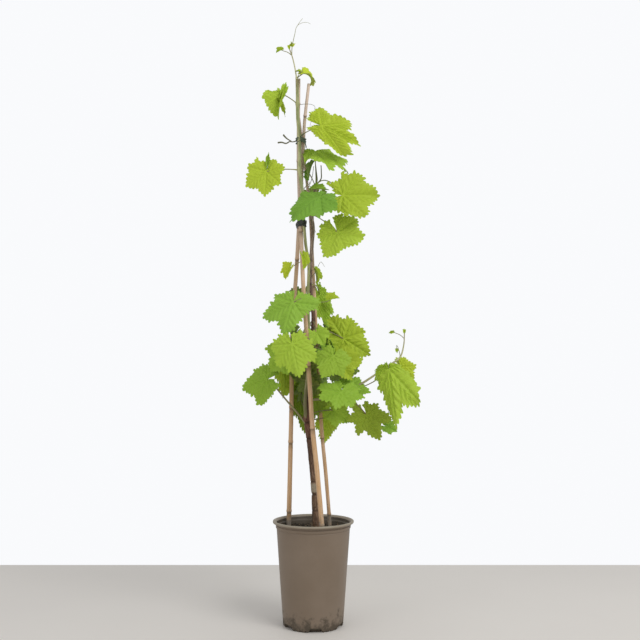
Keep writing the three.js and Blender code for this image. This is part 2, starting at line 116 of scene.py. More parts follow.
# Leaves. heart: where the stalk meets the blade. faces: bearing and tilt of the upper side, so [-90, 0]
# faces the front upright. tip: the midrib's clock turn from hanging straight down. size: heart to tip.
# width, back: shares for the half width and for the lobes behind the heart. fold: how far each half folds
# up along the midrib. droop: how far the blade bends down by its tip. via: a point that pulls the stalk
# out of its arch.
LEAF_COLUMNS = ("name", "stem", "at", "heart", "faces", "tip", "size", "width", "back", "fold", "droop",
                "tint", "via")
LEAF_ROWS = [
    ["leaf_top_curled", "growing_tip", 1127, [-22, -16, 1137], [-90, 48], 95, 40, 0.8, 0.7, 20, 120,
     "young"],
    ["leaf_top_left", "leader", 1072, [-67, -15, 1093], [-125, 5], -12, 60, 0.95, 0.3, 40, 15, "bright"],
    ["leaf_top_right", "leader", 1000, [17, -52, 1011], [-85, 8], 72, 90, 0.52, 0.8, -12, 22, "young"],
    ["leaf_upper_left", "leader", 927, [-98, -20, 924], [-95, 8], -2, 58, 0.97, 1, 8, 10, "young"],
    ["leaf_saddle", "arm", 900, [3, -8, 971], [-92, 58], 66, 90, 0.62, 0.5, -12, 55, "mid"],
    ["leaf_small_folded", "arm", 896, [-8, -12, 921], [-170, 10], -161, 40, 0.5, 0.8, 40, 10, "cool"],
    ["leaf_upper_right", "arm", 902, [61, -35, 870], [-90, 12], 94, 76, 0.97, 0.95, 6, 12, "young",
     [28, 0, 928]],
    ["leaf_over_canes", "leader", 850, [14, -66, 860], [-95, 45], -44, 72, 1, 0.8, -10, 35, "cool"],
    ["leaf_ruffled", "arm", 865, [5, -16, 888], [-90, 60], 85, 28, 1, 1, 20, 10, "mid"],
    ["leaf_under_right", "arm", 838, [50, -20, 796], [-90, 5], 26, 63, 1, 1, -8, 12, "bright"],
    ["leaf_young_left", "leader", 742, [-49, -10, 721], [-120, 10], -28, 25, 1, 1, 40, 30, "young"],
    ["leaf_young_front", "leader", 748, [-21, -37, 741], [-60, 20], 4, 27, 0.7, 1, 40, 50, "young"],
    ["leaf_young_back", "arm", 700, [4, -2, 714], [-30, 10], 14, 24, 0.8, 1, 45, 30, "young"],
    ["leaf_shoulder_left", "leader", 665, [-40, -60, 645], [-98, 18], -14, 76, 1, 0.9, -14, 25, "cool",
     [0, -60, 665]],
    ["leaf_hanging_edge", "arm", 690, [12, 43, 672], [-62, 8], 16, 80, 0.45, 0.7, 6, 15, "mid",
     [14, 2, 690]],
    ["leaf_young_right", "arm", 655, [36, 26, 662], [-80, 40], 102, 22, 1, 1, 40, 10, "young",
     [30, -16, 646]],
    ["leaf_shoulder_right", "arm", 600, [63, 5, 576], [-90, 10], 58, 76, 1, 0.95, 5, 20, "young"],
    ["leaf_front_left", "leader", 552, [-41, -85, 560], [-92, 12], 13, 70, 0.95, 0.95, -10, 20, "bright",
     [6, -60, 552]],
    ["leaf_behind_left", "leader", 560, [-54, -32, 546], [-110, 10], -45, 54, 1, 0.9, 10, 20, "mid"],
    ["leaf_low_left", "left_shoot", 478, [-95, -15, 491], [-110, 15], -70, 62, 1, 0.9, -8, 20, "mid"],
    ["leaf_behind_cane", "arm", 535, [-58, 41, 532], [-50, 5], 2, 66, 0.9, 0.9, 12, 15, "bright"],
    ["leaf_front_centre", "leader", 560, [40, -62, 537], [-85, 20], -28, 56, 1, 1, -10, 20, "bright"],
    ["leaf_front_low", "right_shoot", 454, [55, -75, 465], [-85, 42], -20, 58, 1.15, 1, -8, 25, "mid"],
    ["leaf_middle_right", "arm", 560, [52, -22, 532], [-90, 15], 32, 50, 1, 1, 8, 15, "young"],
    ["leaf_lowest", "trunk", 408, [33, 52, 419], [-80, 0], -12, 66, 0.6, 1, 15, 10, "bright", [41, 8, 412]],
    ["leaf_low_shaded", "trunk", 418, [41, 20, 428], [-80, 20], 55, 44, 1, 1, 10, 15, "mid"],
    ["leaf_low_right", "right_shoot", 462, [110, 12, 419], [-90, -5], 28, 60, 0.97, 1, 4, 8, "dark"],
    ["leaf_low_right_small", "right_shoot", 512, [153, 30, 393], [-90, 20], 67, 25, 1, 1, 30, 10, "cool",
     [172, 30, 490]],
    ["leaf_far_right", "right_shoot", 472, [153, -42, 512], [-114, 5], 9, 121, 0.56, 0.3, -14, 15, "bright",
     [121, 0, 476]],
    ["leaf_far_right_young", "right_shoot", 530, [180, 8, 518], [-80, 10], 46, 54, 0.8, 0.8, 10, 10,
     "young"],
    ["leaf_centre_small", "arm", 612, [8, -50, 584], [-90, 15], 29, 29, 1, 1, 15, 10, "mid"],
    ["leaf_inner_left", "trunk", 425, [-23, 48, 473], [-78, 0], 5, 102, 0.46, 0.5, 10, 10, "dark",
     [-32, 18, 452]],
    ["leaf_inner_low", "arm", 470, [4, 20, 458], [-80, 0], 10, 42, 0.9, 1, 10, 10, "dark"],
    ["leaf_right_edge", "right_shoot", 458, [67, -30, 471], [-90, 50], 83, 50, 1, 1, 10, 10, "mid"],
    ["leaf_inner_right", "arm", 596, [27, 20, 580], [-90, 20], 40, 38, 1, 1, 10, 10, "dark", [24, 0, 594]],
    ["leaf_back_top", "arm", 880, [8, 52, 886], [80, 20], 20, 48, 1, 1, 8, 15, "mid"],
    ["leaf_back_shoulder", "arm", 660, [-24, 52, 662], [110, 20], 30, 54, 1, 1, -8, 20, "mid"],
    ["leaf_back_middle", "arm", 614, [28, 74, 590], [75, 15], -25, 66, 1, 1, -8, 20, "cool",
     [-22, 30, 605]],
    ["leaf_back_left", "leader", 560, [-42, 90, 552], [110, 10], 15, 66, 1, 1, -8, 20, "bright"],
    ["leaf_back_right", "arm", 530, [52, 62, 524], [60, 15], -20, 58, 1, 1, 6, 20, "mid", [40, 10, 534]],
    ["leaf_back_low", "arm", 500, [-8, 104, 494], [95, 5], 0, 60, 1, 1, 6, 15, "cool"],
]
# How some leaves differ. lobes: shares for the lengths of the lobes from the tip round, on the side to the
# right of a leaf that hangs and faces the viewer, and then on its left side. cut: how narrow they are.
# tone: from 0, lighter and yellower, to 1, darker and greener. As set here it is partly painted light and
# shade: the inner leaves are set darkest, and some shaded leaves lighter.
LEAF_CUTS = {
    "leaf_top_left": {"cut": 0.9, "tone": 0, "lobes": [[0.87, 0.7, 0.4, 0.3], [0.87, 0.92, 0.55, 0.2]]},
    "leaf_top_curled": {"lobes": [[1, 0.75, 0.5, 0.5]] * 2},
    "leaf_top_right": {"cut": 2.2, "lobes": [[1.08, 1.15, 1.5, 1], [1.08, 1.42, 0.5, 0.5]]},
    "leaf_upper_left": {"cut": 1.4, "lobes": [[0.95, 0.95, 1, 1.1], [0.95, 1.04, 1, 0.8]]},
    "leaf_upper_right": {"lobes": [[1.05, 0.95, 0.6, 0.5], [1.05, 1.1, 0.7, 0.5]]},
    "leaf_over_canes": {"lobes": [[1.2, 0.75, 1.05, 1.1], [1.2, 0.55, 0.85, 0.9]]},
    "leaf_under_right": {"cut": 1.4, "lobes": [[0.5, 1.05, 1.25, 1.3], [0.5, 1.08, 1, 1.1]]},
    "leaf_shoulder_left": {"cut": 1.9, "tone": 0.1,
                           "lobes": [[0.95, 0.55, 1.15, 0.75], [0.95, 1.05, 1.15, 0.9]]},
    "leaf_shoulder_right": {"lobes": [[0.85, 0.75, 0.92, 1.6], [0.85, 0.6, 0.8, 1.3]]},
    "leaf_front_left": {"tone": 0.45, "lobes": [[0.97, 0.95, 0.8, 0.7], [0.97, 0.92, 1, 0.8]]},
    "leaf_front_centre": {"tone": 0.75, "lobes": [[0.9, 0.95, 1, 0.95], [0.9, 0.95, 0.7, 0.7]]},
    "leaf_front_low": {"lobes": [[0.68, 0.75, 1, 1.4], [0.68, 0.9, 1.1, 1.25]]},
    "leaf_middle_right": {"lobes": [[1, 1.2, 1, 1], [1, 0.8, 0.8, 0.8]]},
    "leaf_centre_small": {"lobes": [[1.05, 1.1, 0.8, 0.6]] * 2},
    "leaf_low_left": {"tone": 0.5, "lobes": [[0.97, 1, 0.6, 0.6], [0.97, 0.85, 0.85, 1.35]]},
    "leaf_behind_cane": {"tone": 0, "lobes": [[1.25, 1, 0.9, 0.8], [1.25, 1.1, 1, 0.8]]},
    "leaf_low_right": {"cut": 2.4, "tone": 0.5, "lobes": [[1.05, 1.1, 0.75, 0.9], [1.05, 0.9, 1.05, 1.25]]},
    "leaf_far_right": {"cut": 2.1, "tone": 0.35, "lobes": [[0.98, 1.3, 1, 0.5], [0.98, 0.7, 1.35, 0.5]]},
    "leaf_far_right_young": {"lobes": [[0.8, 0.9, 0.9, 0.9], [0.8, 0.65, 0.6, 0.8]]},
    "leaf_lowest": {"tone": 0, "lobes": [[1, 0.85, 0.8, 0.7], [1, 1, 0.9, 0.7]]},
    "leaf_saddle": {"tone": 0, "lobes": [[1, 1.3, 1.4, 1.2]] * 2},
    "leaf_low_shaded": {"tone": 0},
    "leaf_inner_left": {"tone": 1},
    "leaf_inner_low": {"tone": 1},
    "leaf_low_right_small": {"tone": 0},
    "leaf_young_left": {"tone": 0},
    "leaf_back_top": {"lobes": [[0.65, 0.8, 1, 1]] * 2},
    "leaf_back_shoulder": {"lobes": [[0.75, 0.85, 1, 1]] * 2},
}
LEAVES = [dict(zip(LEAF_COLUMNS, row)) | LEAF_CUTS.get(row[0], {}) for row in LEAF_ROWS]
LEAF_SEED = 100  # of the first leaf, and the next leaf's is one higher


# ---------- shapes ----------


@dataclass
class Part:
    """A closed surface, or several: points (n, 3) in metres, triangles (m, 3), and values at each point.

    `mark` is from 0 to 1 where a finish changes, as at a joint, a crack or an underside, and also where
    painted shade goes, as inside the pot. `tone` is the shade of a grain or a leaf, also from 0 to 1.
    """

    points: np.ndarray
    triangles: np.ndarray
    uv: np.ndarray = None
    mark: np.ndarray = None
    tone: np.ndarray = None

    def __post_init__(self):
        count = len(self.points)
        self.uv = np.zeros((count, 2)) if self.uv is None else self.uv
        self.mark = np.zeros(count) if self.mark is None else np.broadcast_to(self.mark, count)
        self.tone = np.zeros(count) if self.tone is None else np.broadcast_to(self.tone, count)


def joined(parts):
    """Several parts as one: their arrays end to end, each part's triangles moved on to its own points."""
    starts = np.cumsum([0] + [len(part.points) for part in parts[:-1]])
    triangles = np.concatenate([part.triangles + start for part, start in zip(parts, starts)])
    fields = ("points", "uv", "mark", "tone")
    points, uv, mark, tone = (np.concatenate([getattr(part, name) for part in parts]) for name in fields)
    return Part(points, triangles, uv, mark, tone)


def grid_triangles(rows, columns, wrap_rows=False):
    """Two triangles for each cell of a grid whose last column joins its first, and its last row if asked."""
    i, j = np.meshgrid(np.arange(rows if wrap_rows else rows - 1), np.arange(columns), indexing="ij")
    up, on = (i + 1) % rows, (j + 1) % columns
    a, b, c, d = i * columns + j, i * columns + on, up * columns + on, up * columns + j
    return np.concatenate([np.stack([a, b, c], -1).reshape(-1, 3), np.stack([a, c, d], -1).reshape(-1, 3)])


def fan(centre, ring):
    """A triangle from a centre to each side of a closed ring of points."""
    return np.stack([np.full(len(ring), centre), ring, np.roll(ring, -1)], -1)


def tube_triangles(rows, sides):
    """The triangles of a closed tube: a grid of rings, and a fan to each of the two points after them."""
    count = rows * sides
    return np.concatenate([
        grid_triangles(rows, sides),
        fan(count, np.arange(sides)[::-1]),
        fan(count + 1, np.arange(count - sides, count)),
    ])


def ring_turns(sides):
    """The angles of evenly spaced points round a ring."""
    return np.arange(sides) * TURN / sides


def lengths(line):
    """How far each point of a line is from its first one, along it."""
    return np.concatenate([[0], np.cumsum(np.linalg.norm(np.diff(line, axis=0), axis=1))])


def unit(vectors):
    """Each row as a vector of length 1."""
    return vectors / np.linalg.norm(vectors, axis=1)[:, None]


def ease(low, high, value):
    """0 below `low`, 1 above `high`, and 3t^2 - 2t^3 between them."""
    share = np.clip((value - low) / (high - low), 0, 1)
    return share * share * (3 - 2 * share)


def noise(u, v, cells, seed):
    """Smooth noise from -1 to 1 that repeats as u or v passes 1: a grid of seeded values, eased between."""
    across, along = cells
    values = np.random.default_rng(seed).uniform(-1, 1, (across, along))
    x, y = u * across, v * along
    i, j = np.floor(x).astype(int), np.floor(y).astype(int)
    s, t = ease(0, 1, x - i), ease(0, 1, y - j)
    low = values[i % across, j % along] * (1 - s) + values[(i + 1) % across, j % along] * s
    high = values[i % across, (j + 1) % along] * (1 - s) + values[(i + 1) % across, (j + 1) % along] * s
    return low * (1 - t) + high * t


CURVE_SAMPLES = 32  # points worked out on each stretch of a curve, before they are evened


def smooth_axis(points, steps):
    """The centripetal Catmull-Rom curve through points, as steps + 1 points at equal distances along it.

    Each stretch is a cubic whose end slopes come from its neighbours, weighed by the root of their
    distances.
    """
    p = np.asarray(points, float)
    p = np.vstack([2 * p[0] - p[1], p, 2 * p[-1] - p[-2]])
    gap = np.sqrt(np.linalg.norm(np.diff(p, axis=0), axis=1))[:, None]
    a, b, c, d = p[:-3], p[1:-2], p[2:-1], p[3:]
    before, within, after = gap[:-2], gap[1:-1], gap[2:]
    leave = ((b - a) / before - (c - a) / (before + within) + (c - b) / within) * within
    arrive = ((c - b) / within - (d - b) / (within + after) + (d - c) / after) * within
    t = np.linspace(0, 1, CURVE_SAMPLES + 1)[:-1, None, None]
    curve = b + leave * t + (3 * (c - b) - 2 * leave - arrive) * t**2 + (2 * (b - c) + leave + arrive) * t**3
    curve = np.vstack([curve.transpose(1, 0, 2).reshape(-1, 3), p[-2]])
    return even(curve, steps)


def even(curve, steps):
    """A line of points again, as steps + 1 points at equal distances along it."""
    length = lengths(curve)
    where = np.linspace(0, length[-1], steps + 1)
    return np.stack([np.interp(where, length, curve[:, k]) for k in range(3)], -1)


def arch(foot, middle, head, steps):
    """The quadratic Bezier curve from foot to head, pulled towards middle."""
    t = np.linspace(0, 1, steps + 1)[:, None]
    return (1 - t) ** 2 * np.asarray(foot) + 2 * t * (1 - t) * np.asarray(middle) + t**2 * np.asarray(head)


def at_height(axis, height):
    """The point of a climbing axis at a height."""
    return np.array([np.interp(height, axis[:, 2], axis[:, k]) for k in range(3)])


def directions(axis):
    """Unit tangents of an axis, and two unit vectors square to them and to each other.

    The first of the two is the direction that the axis has least of, less its part along the tangent.
    """
    tangent = unit(np.gradient(axis, axis=0))
    reference = np.linalg.svd(tangent)[2][-1]
    reference = reference * np.sign(reference[np.argmax(np.abs(reference))])
    side = unit(reference - (tangent @ reference)[:, None] * tangent)
    return tangent, side, np.cross(tangent, side)


def limb(axis, radii, sides, mark=0, tone=0, bore=0):
    """A closed limb: rings of points stand square to an axis and close to a point at each end.

    A ring's point is centre + radius (side cos turn + other sin turn). `radii` holds one radius for each
    ring, or for each point of each ring. With `bore`, the tip is a flat cut with a hole half as wide, that
    deep.
    """
    tangent, side, other = directions(axis)
    rows = len(axis)
    radii = np.broadcast_to(np.reshape(radii, (rows, -1)), (rows, sides))
    mark = np.broadcast_to(np.reshape(mark, (-1, 1)) if np.ndim(mark) < 2 else mark, (rows, sides))
    if bore:
        depth = np.array([0, bore])[:, None]
        axis = np.vstack([axis, axis[-1] - depth * tangent[-1]])
        side = np.vstack([side, side[-1:], side[-1:]])
        other = np.vstack([other, other[-1:], other[-1:]])
        radii = np.vstack([radii, radii[-1:] / 2, radii[-1:] / 2])
        # The bottom of the hole is marked in full, so the finish paints the hole dark as shade.
        mark = np.vstack([mark, mark[-1:], np.ones((1, sides))])
        rows += 2
    turn = ring_turns(sides)
    points = axis[:, None] + radii[..., None] * (
        side[:, None] * np.cos(turn)[:, None] + other[:, None] * np.sin(turn)[:, None]
    )
    points = np.vstack([points.reshape(-1, 3), axis[0], axis[-1]]) * MM
    around = np.tile(np.arange(sides) / sides, rows)
    along = np.repeat(np.arange(rows) / rows, sides)
    uv = np.vstack([np.stack([around, along], -1), [[0.5, 0], [0.5, 1]]])
    marks = np.concatenate([mark.ravel(), mark[0, :1], mark[-1, :1]])
    return Part(points, tube_triangles(rows, sides), uv, marks, tone)


def rounded_ends(radii, axis, round_foot=True):
    """Radii that close like a ball over the last stretch at each end, as long as the end is wide."""
    length = lengths(axis)
    shape = np.sqrt(1 - (1 - np.clip((length[-1] - length) / radii[-1], 0, 1)) ** 2)
    if round_foot:
        shape *= np.sqrt(1 - (1 - np.clip(length / radii[0], 0, 1)) ** 2)
    return radii * np.maximum(shape, 0.02)


def by_height(pairs, axis):
    """A value for each point of an axis, from [height, value] pairs."""
    heights, values = np.transpose(pairs)
    return np.interp(axis[:, 2], heights, values)


def bump(value, centre, width):
    """A bell of height 1 round a centre: e^-(distance / width)^2."""
    return np.exp(-(((value - centre) / width) ** 2))


def turned(profile, sides, shape=None, mark=0):
    """A closed turned body: a profile [radius, height] that starts and ends on the axis, carried round it.

    `shape` changes the radii and heights, given as arrays with a row for each profile point.
    """
    profile = np.asarray(profile, float)
    turn = ring_turns(sides)
    radius = np.repeat(profile[1:-1, :1], sides, axis=1)
    height = np.repeat(profile[1:-1, 1:], sides, axis=1)
    if shape:
        radius, height = shape(radius, height, turn)
    points = np.stack([radius * np.cos(turn), radius * np.sin(turn), height], -1)
    ends = [[0, 0, profile[0, 1]], [0, 0, profile[-1, 1]]]
    points = np.vstack([points.reshape(-1, 3), ends]) * MM
    return Part(points, tube_triangles(len(profile) - 2, sides), mark=mark)


def eased_profile(corners, steps=5):
    """A profile through corners [x, y, round], each eased by a parabola.

    The parabola starts `round` short of its corner, and stops as far beyond it.
    """
    corners = np.asarray(corners, float)
    inner, before, after = corners[1:-1, :2], corners[:-2, :2], corners[2:, :2]
    reach = corners[1:-1, 2:]
    start = inner + reach * (before - inner) / np.linalg.norm(before - inner, axis=1)[:, None]
    stop = inner + reach * (after - inner) / np.linalg.norm(after - inner, axis=1)[:, None]
    t = np.linspace(0, 1, steps)[:, None, None]
    curve = (1 - t) ** 2 * start + 2 * t * (1 - t) * inner + t**2 * stop
    line = np.vstack([corners[0, :2], curve.transpose(1, 0, 2).reshape(-1, 2), corners[-1, :2]])
    moved = np.linalg.norm(np.diff(line, axis=0), axis=1) > 1e-6
    return line[np.concatenate([[True], moved])]


def lumps(rng, places, sizes, flat=(0.6, 1)):
    """Small closed grains: twelve-cornered balls, each stretched and turned by a seeded amount.

    `flat` is the least and the most that a ball is stretched along each of its axes. The turn is a random
    quaternion's, written out as its matrix.
    """
    golden = (1 + math.sqrt(5)) / 2
    ring = np.array([[-1, golden, 0], [1, golden, 0], [-1, -golden, 0], [1, -golden, 0]])
    corners = np.vstack([ring, ring[:, [2, 0, 1]], ring[:, [1, 2, 0]]]) / math.hypot(1, golden)
    count, each = len(places), len(corners)
    stretch = rng.uniform(flat[0], flat[1], (count, 1, 3)) * np.reshape(sizes, (-1, 1, 1))
    bumpy = 1 + rng.uniform(-0.18, 0.18, (count, each, 1))
    w, x, y, z = unit(rng.normal(size=(count, 4))).T
    rotation = np.stack([
        np.stack([1 - 2 * (y * y + z * z), 2 * (x * y - z * w), 2 * (x * z + y * w)], -1),
        np.stack([2 * (x * y + z * w), 1 - 2 * (x * x + z * z), 2 * (y * z - x * w)], -1),
        np.stack([2 * (x * z - y * w), 2 * (y * z + x * w), 1 - 2 * (x * x + y * y)], -1),
    ], 1)
    points = np.einsum("nij,nkj->nki", rotation, corners * stretch * bumpy) + np.asarray(places)[:, None]
    triangles = ball_faces(corners)[None] + each * np.arange(count)[:, None, None]
    tone = np.repeat(rng.uniform(0, 1, count), each)
    return Part(points.reshape(-1, 3) * MM, triangles.reshape(-1, 3), tone=tone)


def ball_faces(corners):
    """The triangles of a ball's corners: each three that are next to each other, turned outwards."""
    near = np.linalg.norm(corners[:, None] - corners[None], axis=2)
    close = (near > 0) & (near < near[near > 0].min() * 1.01)
    i, j, k = np.nonzero(close[:, :, None] & close[None] & close[:, None, :])
    keep = (i < j) & (j < k)
    faces = np.stack([i[keep], j[keep], k[keep]], -1)
    a, b, c = corners[faces[:, 0]], corners[faces[:, 1]], corners[faces[:, 2]]
    inward = np.einsum("ij,ij->i", np.cross(b - a, c - a), a + b + c) < 0
    faces[inward] = faces[inward][:, ::-1]
    return faces


SHARP_ANGLE = math.radians(50)  # an edge that turns by more than this is shaded as sharp


def piece(name, part, material, nodes=()):
    """A named object from a part. It rides on the plant's body and stands for these nodes of the frame."""
    mesh = bpy.data.meshes.new(name)
    triangles = part.triangles.astype(np.int32)
    mesh.vertices.add(len(part.points))
    mesh.vertices.foreach_set("co", part.points.astype(np.float32).ravel())
    mesh.loops.add(triangles.size)
    mesh.loops.foreach_set("vertex_index", triangles.ravel())
    mesh.polygons.add(len(triangles))
    mesh.polygons.foreach_set("loop_start", np.arange(0, triangles.size, 3, dtype=np.int32))
    mesh.update(calc_edges=True)
    corners = part.uv[triangles.ravel()].astype(np.float32)
    mesh.uv_layers.new(name="UVMap").uv.foreach_set("vector", corners.ravel())
    for label in ("mark", "tone"):
        values = getattr(part, label).astype(np.float32)
        mesh.attributes.new(label, "FLOAT", "POINT").data.foreach_set("value", values)
    if mesh.validate():
        raise RuntimeError(f"{name} had faces that are not real")
    mesh.shade_smooth()
    mesh.set_sharp_from_angle(angle=SHARP_ANGLE)
    mesh.materials.append(material)
    shown = bpy.data.objects.new(name, mesh)
    bpy.context.scene.collection.objects.link(shown)
    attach(shown, "root")
    if nodes:
        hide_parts(*nodes)


# ---------- leaves ----------

LOBE_STEP = math.radians(51)  # between a leaf's main veins, which run to its tip and to three lobes a side
LOBE_REACH = np.array([0.95, 0.82, 0.68, 0.52])  # of the lobes from the tip round, as shares of the size
NOTCH = math.radians(163)  # where the margin turns in to the stalk
TOOTH_COLUMNS = 4  # grid columns in each tooth of the margin
VEIN_LEAN = 0.84  # how far a side vein runs out for each step away from its main vein
SIDE_VEIN_SPACING = 0.15  # between side veins, as a share of the size


MARGIN_SAMPLES = 720  # angles at which half a margin is worked out, before it is evened
MAP_HEART, MAP_SHARE = 0.5, 0.45  # where the heart is on a leaf's own map, and how far the size reaches


def half_margin(teeth, cut, tooth, shares, rng):
    """Half a leaf's margin from its tip round to its notch: smooth points, and the toothed ones.

    At an angle d from a lobe's line the lobe reaches length / (cos d + cut |sin d|^1.5), which draws a
    rounded point, and the margin is the furthest lobe's. Teeth of seeded heights stand on it at even
    distances, and every third one is larger.
    """
    turn = np.linspace(0, math.pi, MARGIN_SAMPLES + 1)
    side_lobes = np.array([0, 1, 1, 1])  # the lobe at the tip is left where it is
    lobes = LOBE_REACH * (1 + rng.normal(0, 0.04, 4) * side_lobes) * shares
    offset = turn[:, None] - LOBE_STEP * np.arange(4) - side_lobes * rng.normal(0, 0.05, 4)
    reach = lobes / (np.cos(offset) + cut * np.abs(np.sin(offset)) ** 1.5)
    reach = np.where(np.abs(offset) < math.pi / 2, reach, 0).max(axis=1)
    reach *= 1 - 0.86 * ease(NOTCH, math.pi, turn)
    curve = np.stack([reach * np.cos(turn), reach * np.sin(turn), np.zeros(turn.size)], -1)
    columns = teeth * TOOTH_COLUMNS
    line = even(curve, columns)[:, :2]
    slope = np.gradient(line, axis=0)
    outward = unit(np.stack([slope[:, 1], -slope[:, 0]], -1))
    index = np.arange(columns + 1) + TOOTH_COLUMNS / 2
    phase = (index / TOOTH_COLUMNS) % 1
    rise = np.sin(math.pi * phase**0.8) ** 0.9
    heights = rng.uniform(0.6, 1.1, teeth + 1) * np.where(np.arange(teeth + 1) % 3, 0.8, 1.5)
    heights = heights[(index // TOOTH_COLUMNS).astype(int)]
    heights = heights * (1 - ease(0.86, 1, np.arange(columns + 1) / columns))
    return line, line + outward * (tooth * rise * heights - 0.3 * tooth)[:, None]


def margin(teeth, cut, tooth, shares, rng):
    """A leaf's whole margin from its tip round and back, smooth and toothed. Each half has its own seeds."""
    halves = [half_margin(teeth, cut, tooth, half, rng) for half in shares]
    mirror = np.array([1, -1])
    return [np.vstack([halves[0][k][:-1], (halves[1][k] * mirror)[:0:-1]]) for k in range(2)]


def vein_distances(u, v):
    """A point's distance from the nearest main vein, and its place from 0 to 1 between two side veins."""
    turn = np.arctan2(np.abs(v), u)
    reach = np.hypot(u, v)
    offset = np.abs((turn + LOBE_STEP / 2) % LOBE_STEP - LOBE_STEP / 2)
    away = reach * np.sin(offset)
    along = reach * np.cos(offset) - VEIN_LEAN * away
    return away, (along / SIDE_VEIN_SPACING) % 1


def leaf_axes(leaf):
    """A leaf's unit axes: along the midrib, across it, and out of its upper side."""
    bearing, tilt, tip = np.radians([*leaf["faces"], leaf["tip"]])
    face = np.array([math.cos(tilt) * math.cos(bearing), math.cos(tilt) * math.sin(bearing), math.sin(tilt)])
    level = np.array([-math.sin(bearing), math.cos(bearing), 0])
    along = level * math.sin(tip) - np.cross(face, level) * math.cos(tip)
    return along, np.cross(face, along), face


SMALL_LEAF = 45  # a leaf up to this size is drawn with fewer rings
PLAIN_LOBES = [[1] * 4] * 2


def lens_triangles(rows, columns):
    """The triangles of a thin lens: two grids of rings that share their rim, each with a fan at its heart.

    The upper side's rings come first, then the under side's without its rim, and last the two hearts.
    """
    rim = rows * columns
    hearts = rim + (rows - 1) * columns
    under = np.concatenate([np.arange(rim, hearts), np.arange(rim - columns, rim)])
    grid = grid_triangles(rows, columns)
    return np.concatenate([
        grid[:, ::-1],
        fan(hearts, np.arange(columns)),
        under[grid],
        fan(hearts + 1, under[:columns][::-1]),
    ])


def blade_relief(look, flat, share, rng):
    """How far a blade stands off its own plane, as a share of its size.

    The veins are grooves, the panels between them swell, each lobe folds up a little along its vein, and
    the margin waves by a sum of sines.
    """
    u, v = flat[..., 0], flat[..., 1]
    reach = np.hypot(u, v)
    turn = np.arctan2(v, u)
    away, place = vein_distances(u, v)
    clear = ease(0, 0.1, reach)
    depth = bump(away, 0, 0.012 + 0.02 * (1 - reach)) * (1 - 0.5 * reach) * clear
    panel = np.sin(math.pi * place) ** 2 * ease(0, 0.07, away) * (1 - ease(0.75, 1, share))
    first, second, third = rng.uniform(0, TURN, 3)
    wave = np.sin(2 * turn + first) + np.sin(3 * turn + second) + 0.8 * np.sin(7 * turn + third)
    wave = wave + 0.9 * share**3 * np.sin(13 * turn + first)
    return (
        look.relief * (0.9 * panel * clear - 0.4 * depth)
        + look.lobe_fold * away * (1 + 0.5 * np.sin(turn + second))
        + look.wave * wave * reach**2
    )


def blade(leaf, look, rng):
    """A leaf's blade: a thin closed lens, drawn flat, lifted by its relief, folded, bent and put in place.

    A larger leaf has more teeth and, past a size, more rings.
    A ring's point is the margin's times a share of the way out. With u = r cos t along the midrib and
    v = r sin t across it, the halves fold up along the midrib and the blade bends down along u as an arc.
    """
    size = leaf["size"]
    rows = 16 if size > SMALL_LEAF else 9
    teeth = int(np.clip(size * 0.26 + 5, 9, 28))
    cut, lobes = leaf.get("cut", look.cut), leaf.get("lobes", PLAIN_LOBES)
    smooth, toothed = margin(teeth, cut, look.tooth, lobes, rng)
    columns = len(smooth)
    share = (1 - (1 - np.arange(1, rows + 1) / rows) ** 1.25)[:, None]
    flat = smooth * share[..., None] + (toothed - smooth) * share[..., None] ** 7
    lift = size * blade_relief(look, flat, share, rng)
    turn = np.arctan2(flat[..., 1], flat[..., 0])
    behind = ease(math.pi / 3, TURN / 3, np.abs(turn))
    shrink = size * (1 - (1 - leaf["back"]) * behind)
    u, v = shrink * flat[..., 0], shrink * flat[..., 1] * leaf["width"]
    fold = math.radians(leaf["fold"])
    bend = math.radians(leaf["droop"]) / size
    along, across, face = leaf_axes(leaf)

    def placed(thick):
        side = v * math.cos(fold)
        rise = np.abs(v) * math.sin(fold) * ease(0, 0.12 * size, np.abs(v)) + lift + thick
        sweep = bend * u
        forward = np.sin(sweep) / bend + rise * np.sin(sweep)
        out = rise * np.cos(sweep) - (1 - np.cos(sweep)) / bend
        return leaf["heart"] + forward[..., None] * along + side[..., None] * across + out[..., None] * face

    half = look.thickness / MM / 2
    taper = 1 - share**8
    heart = np.asarray(leaf["heart"], float)
    sides = [placed(half * taper).reshape(-1, 3), placed(-half * taper)[:-1].reshape(-1, 3)]
    points = np.vstack([*sides, heart + half * face, heart - half * face])
    uv = np.vstack([flat.reshape(-1, 2), flat[:-1].reshape(-1, 2), [[0, 0], [0, 0]]]) * MAP_SHARE + MAP_HEART
    underside = np.repeat([0.0, 1.0, 0.0, 1.0], [rows * columns, (rows - 1) * columns, 1, 1])
    tone = leaf.get("tone", rng.uniform(0, 1))
    return Part(points * MM, lens_triangles(rows, columns), uv, underside, tone)


SHOOT_STEPS, STEM_STEPS = 400, 320  # along the axes that leaves, stalks and ties are placed by
FILLING_SEED = 77
FILLING_PLACES = 44  # tried, and those in the open parts of the tier are passed over
FILLING_FOOT, FILLING_RISE = 430, 206  # the lowest height, and how far above it the highest may be
FILLING_STEP = 0.755  # from each place to the next, as a share of the rise, starting again from the foot
GOLDEN_ANGLE = 137.5


def stays_open(height, aside, ahead):
    """Whether a place in the lower tier is kept clear, by how far it is to the right of and behind the arm.

    From half way up the tier, places in front of the stems and straight behind them are clear, and higher
    still so are all on the right. Below that it is those in front of the canes, and low down those beside
    them.
    """
    if height > 575:
        return ahead < 8 or -16 < aside < 16 or height > 590 and aside > 0
    return height < 545 and ahead < -12 or height < 480 and abs(aside) > 9


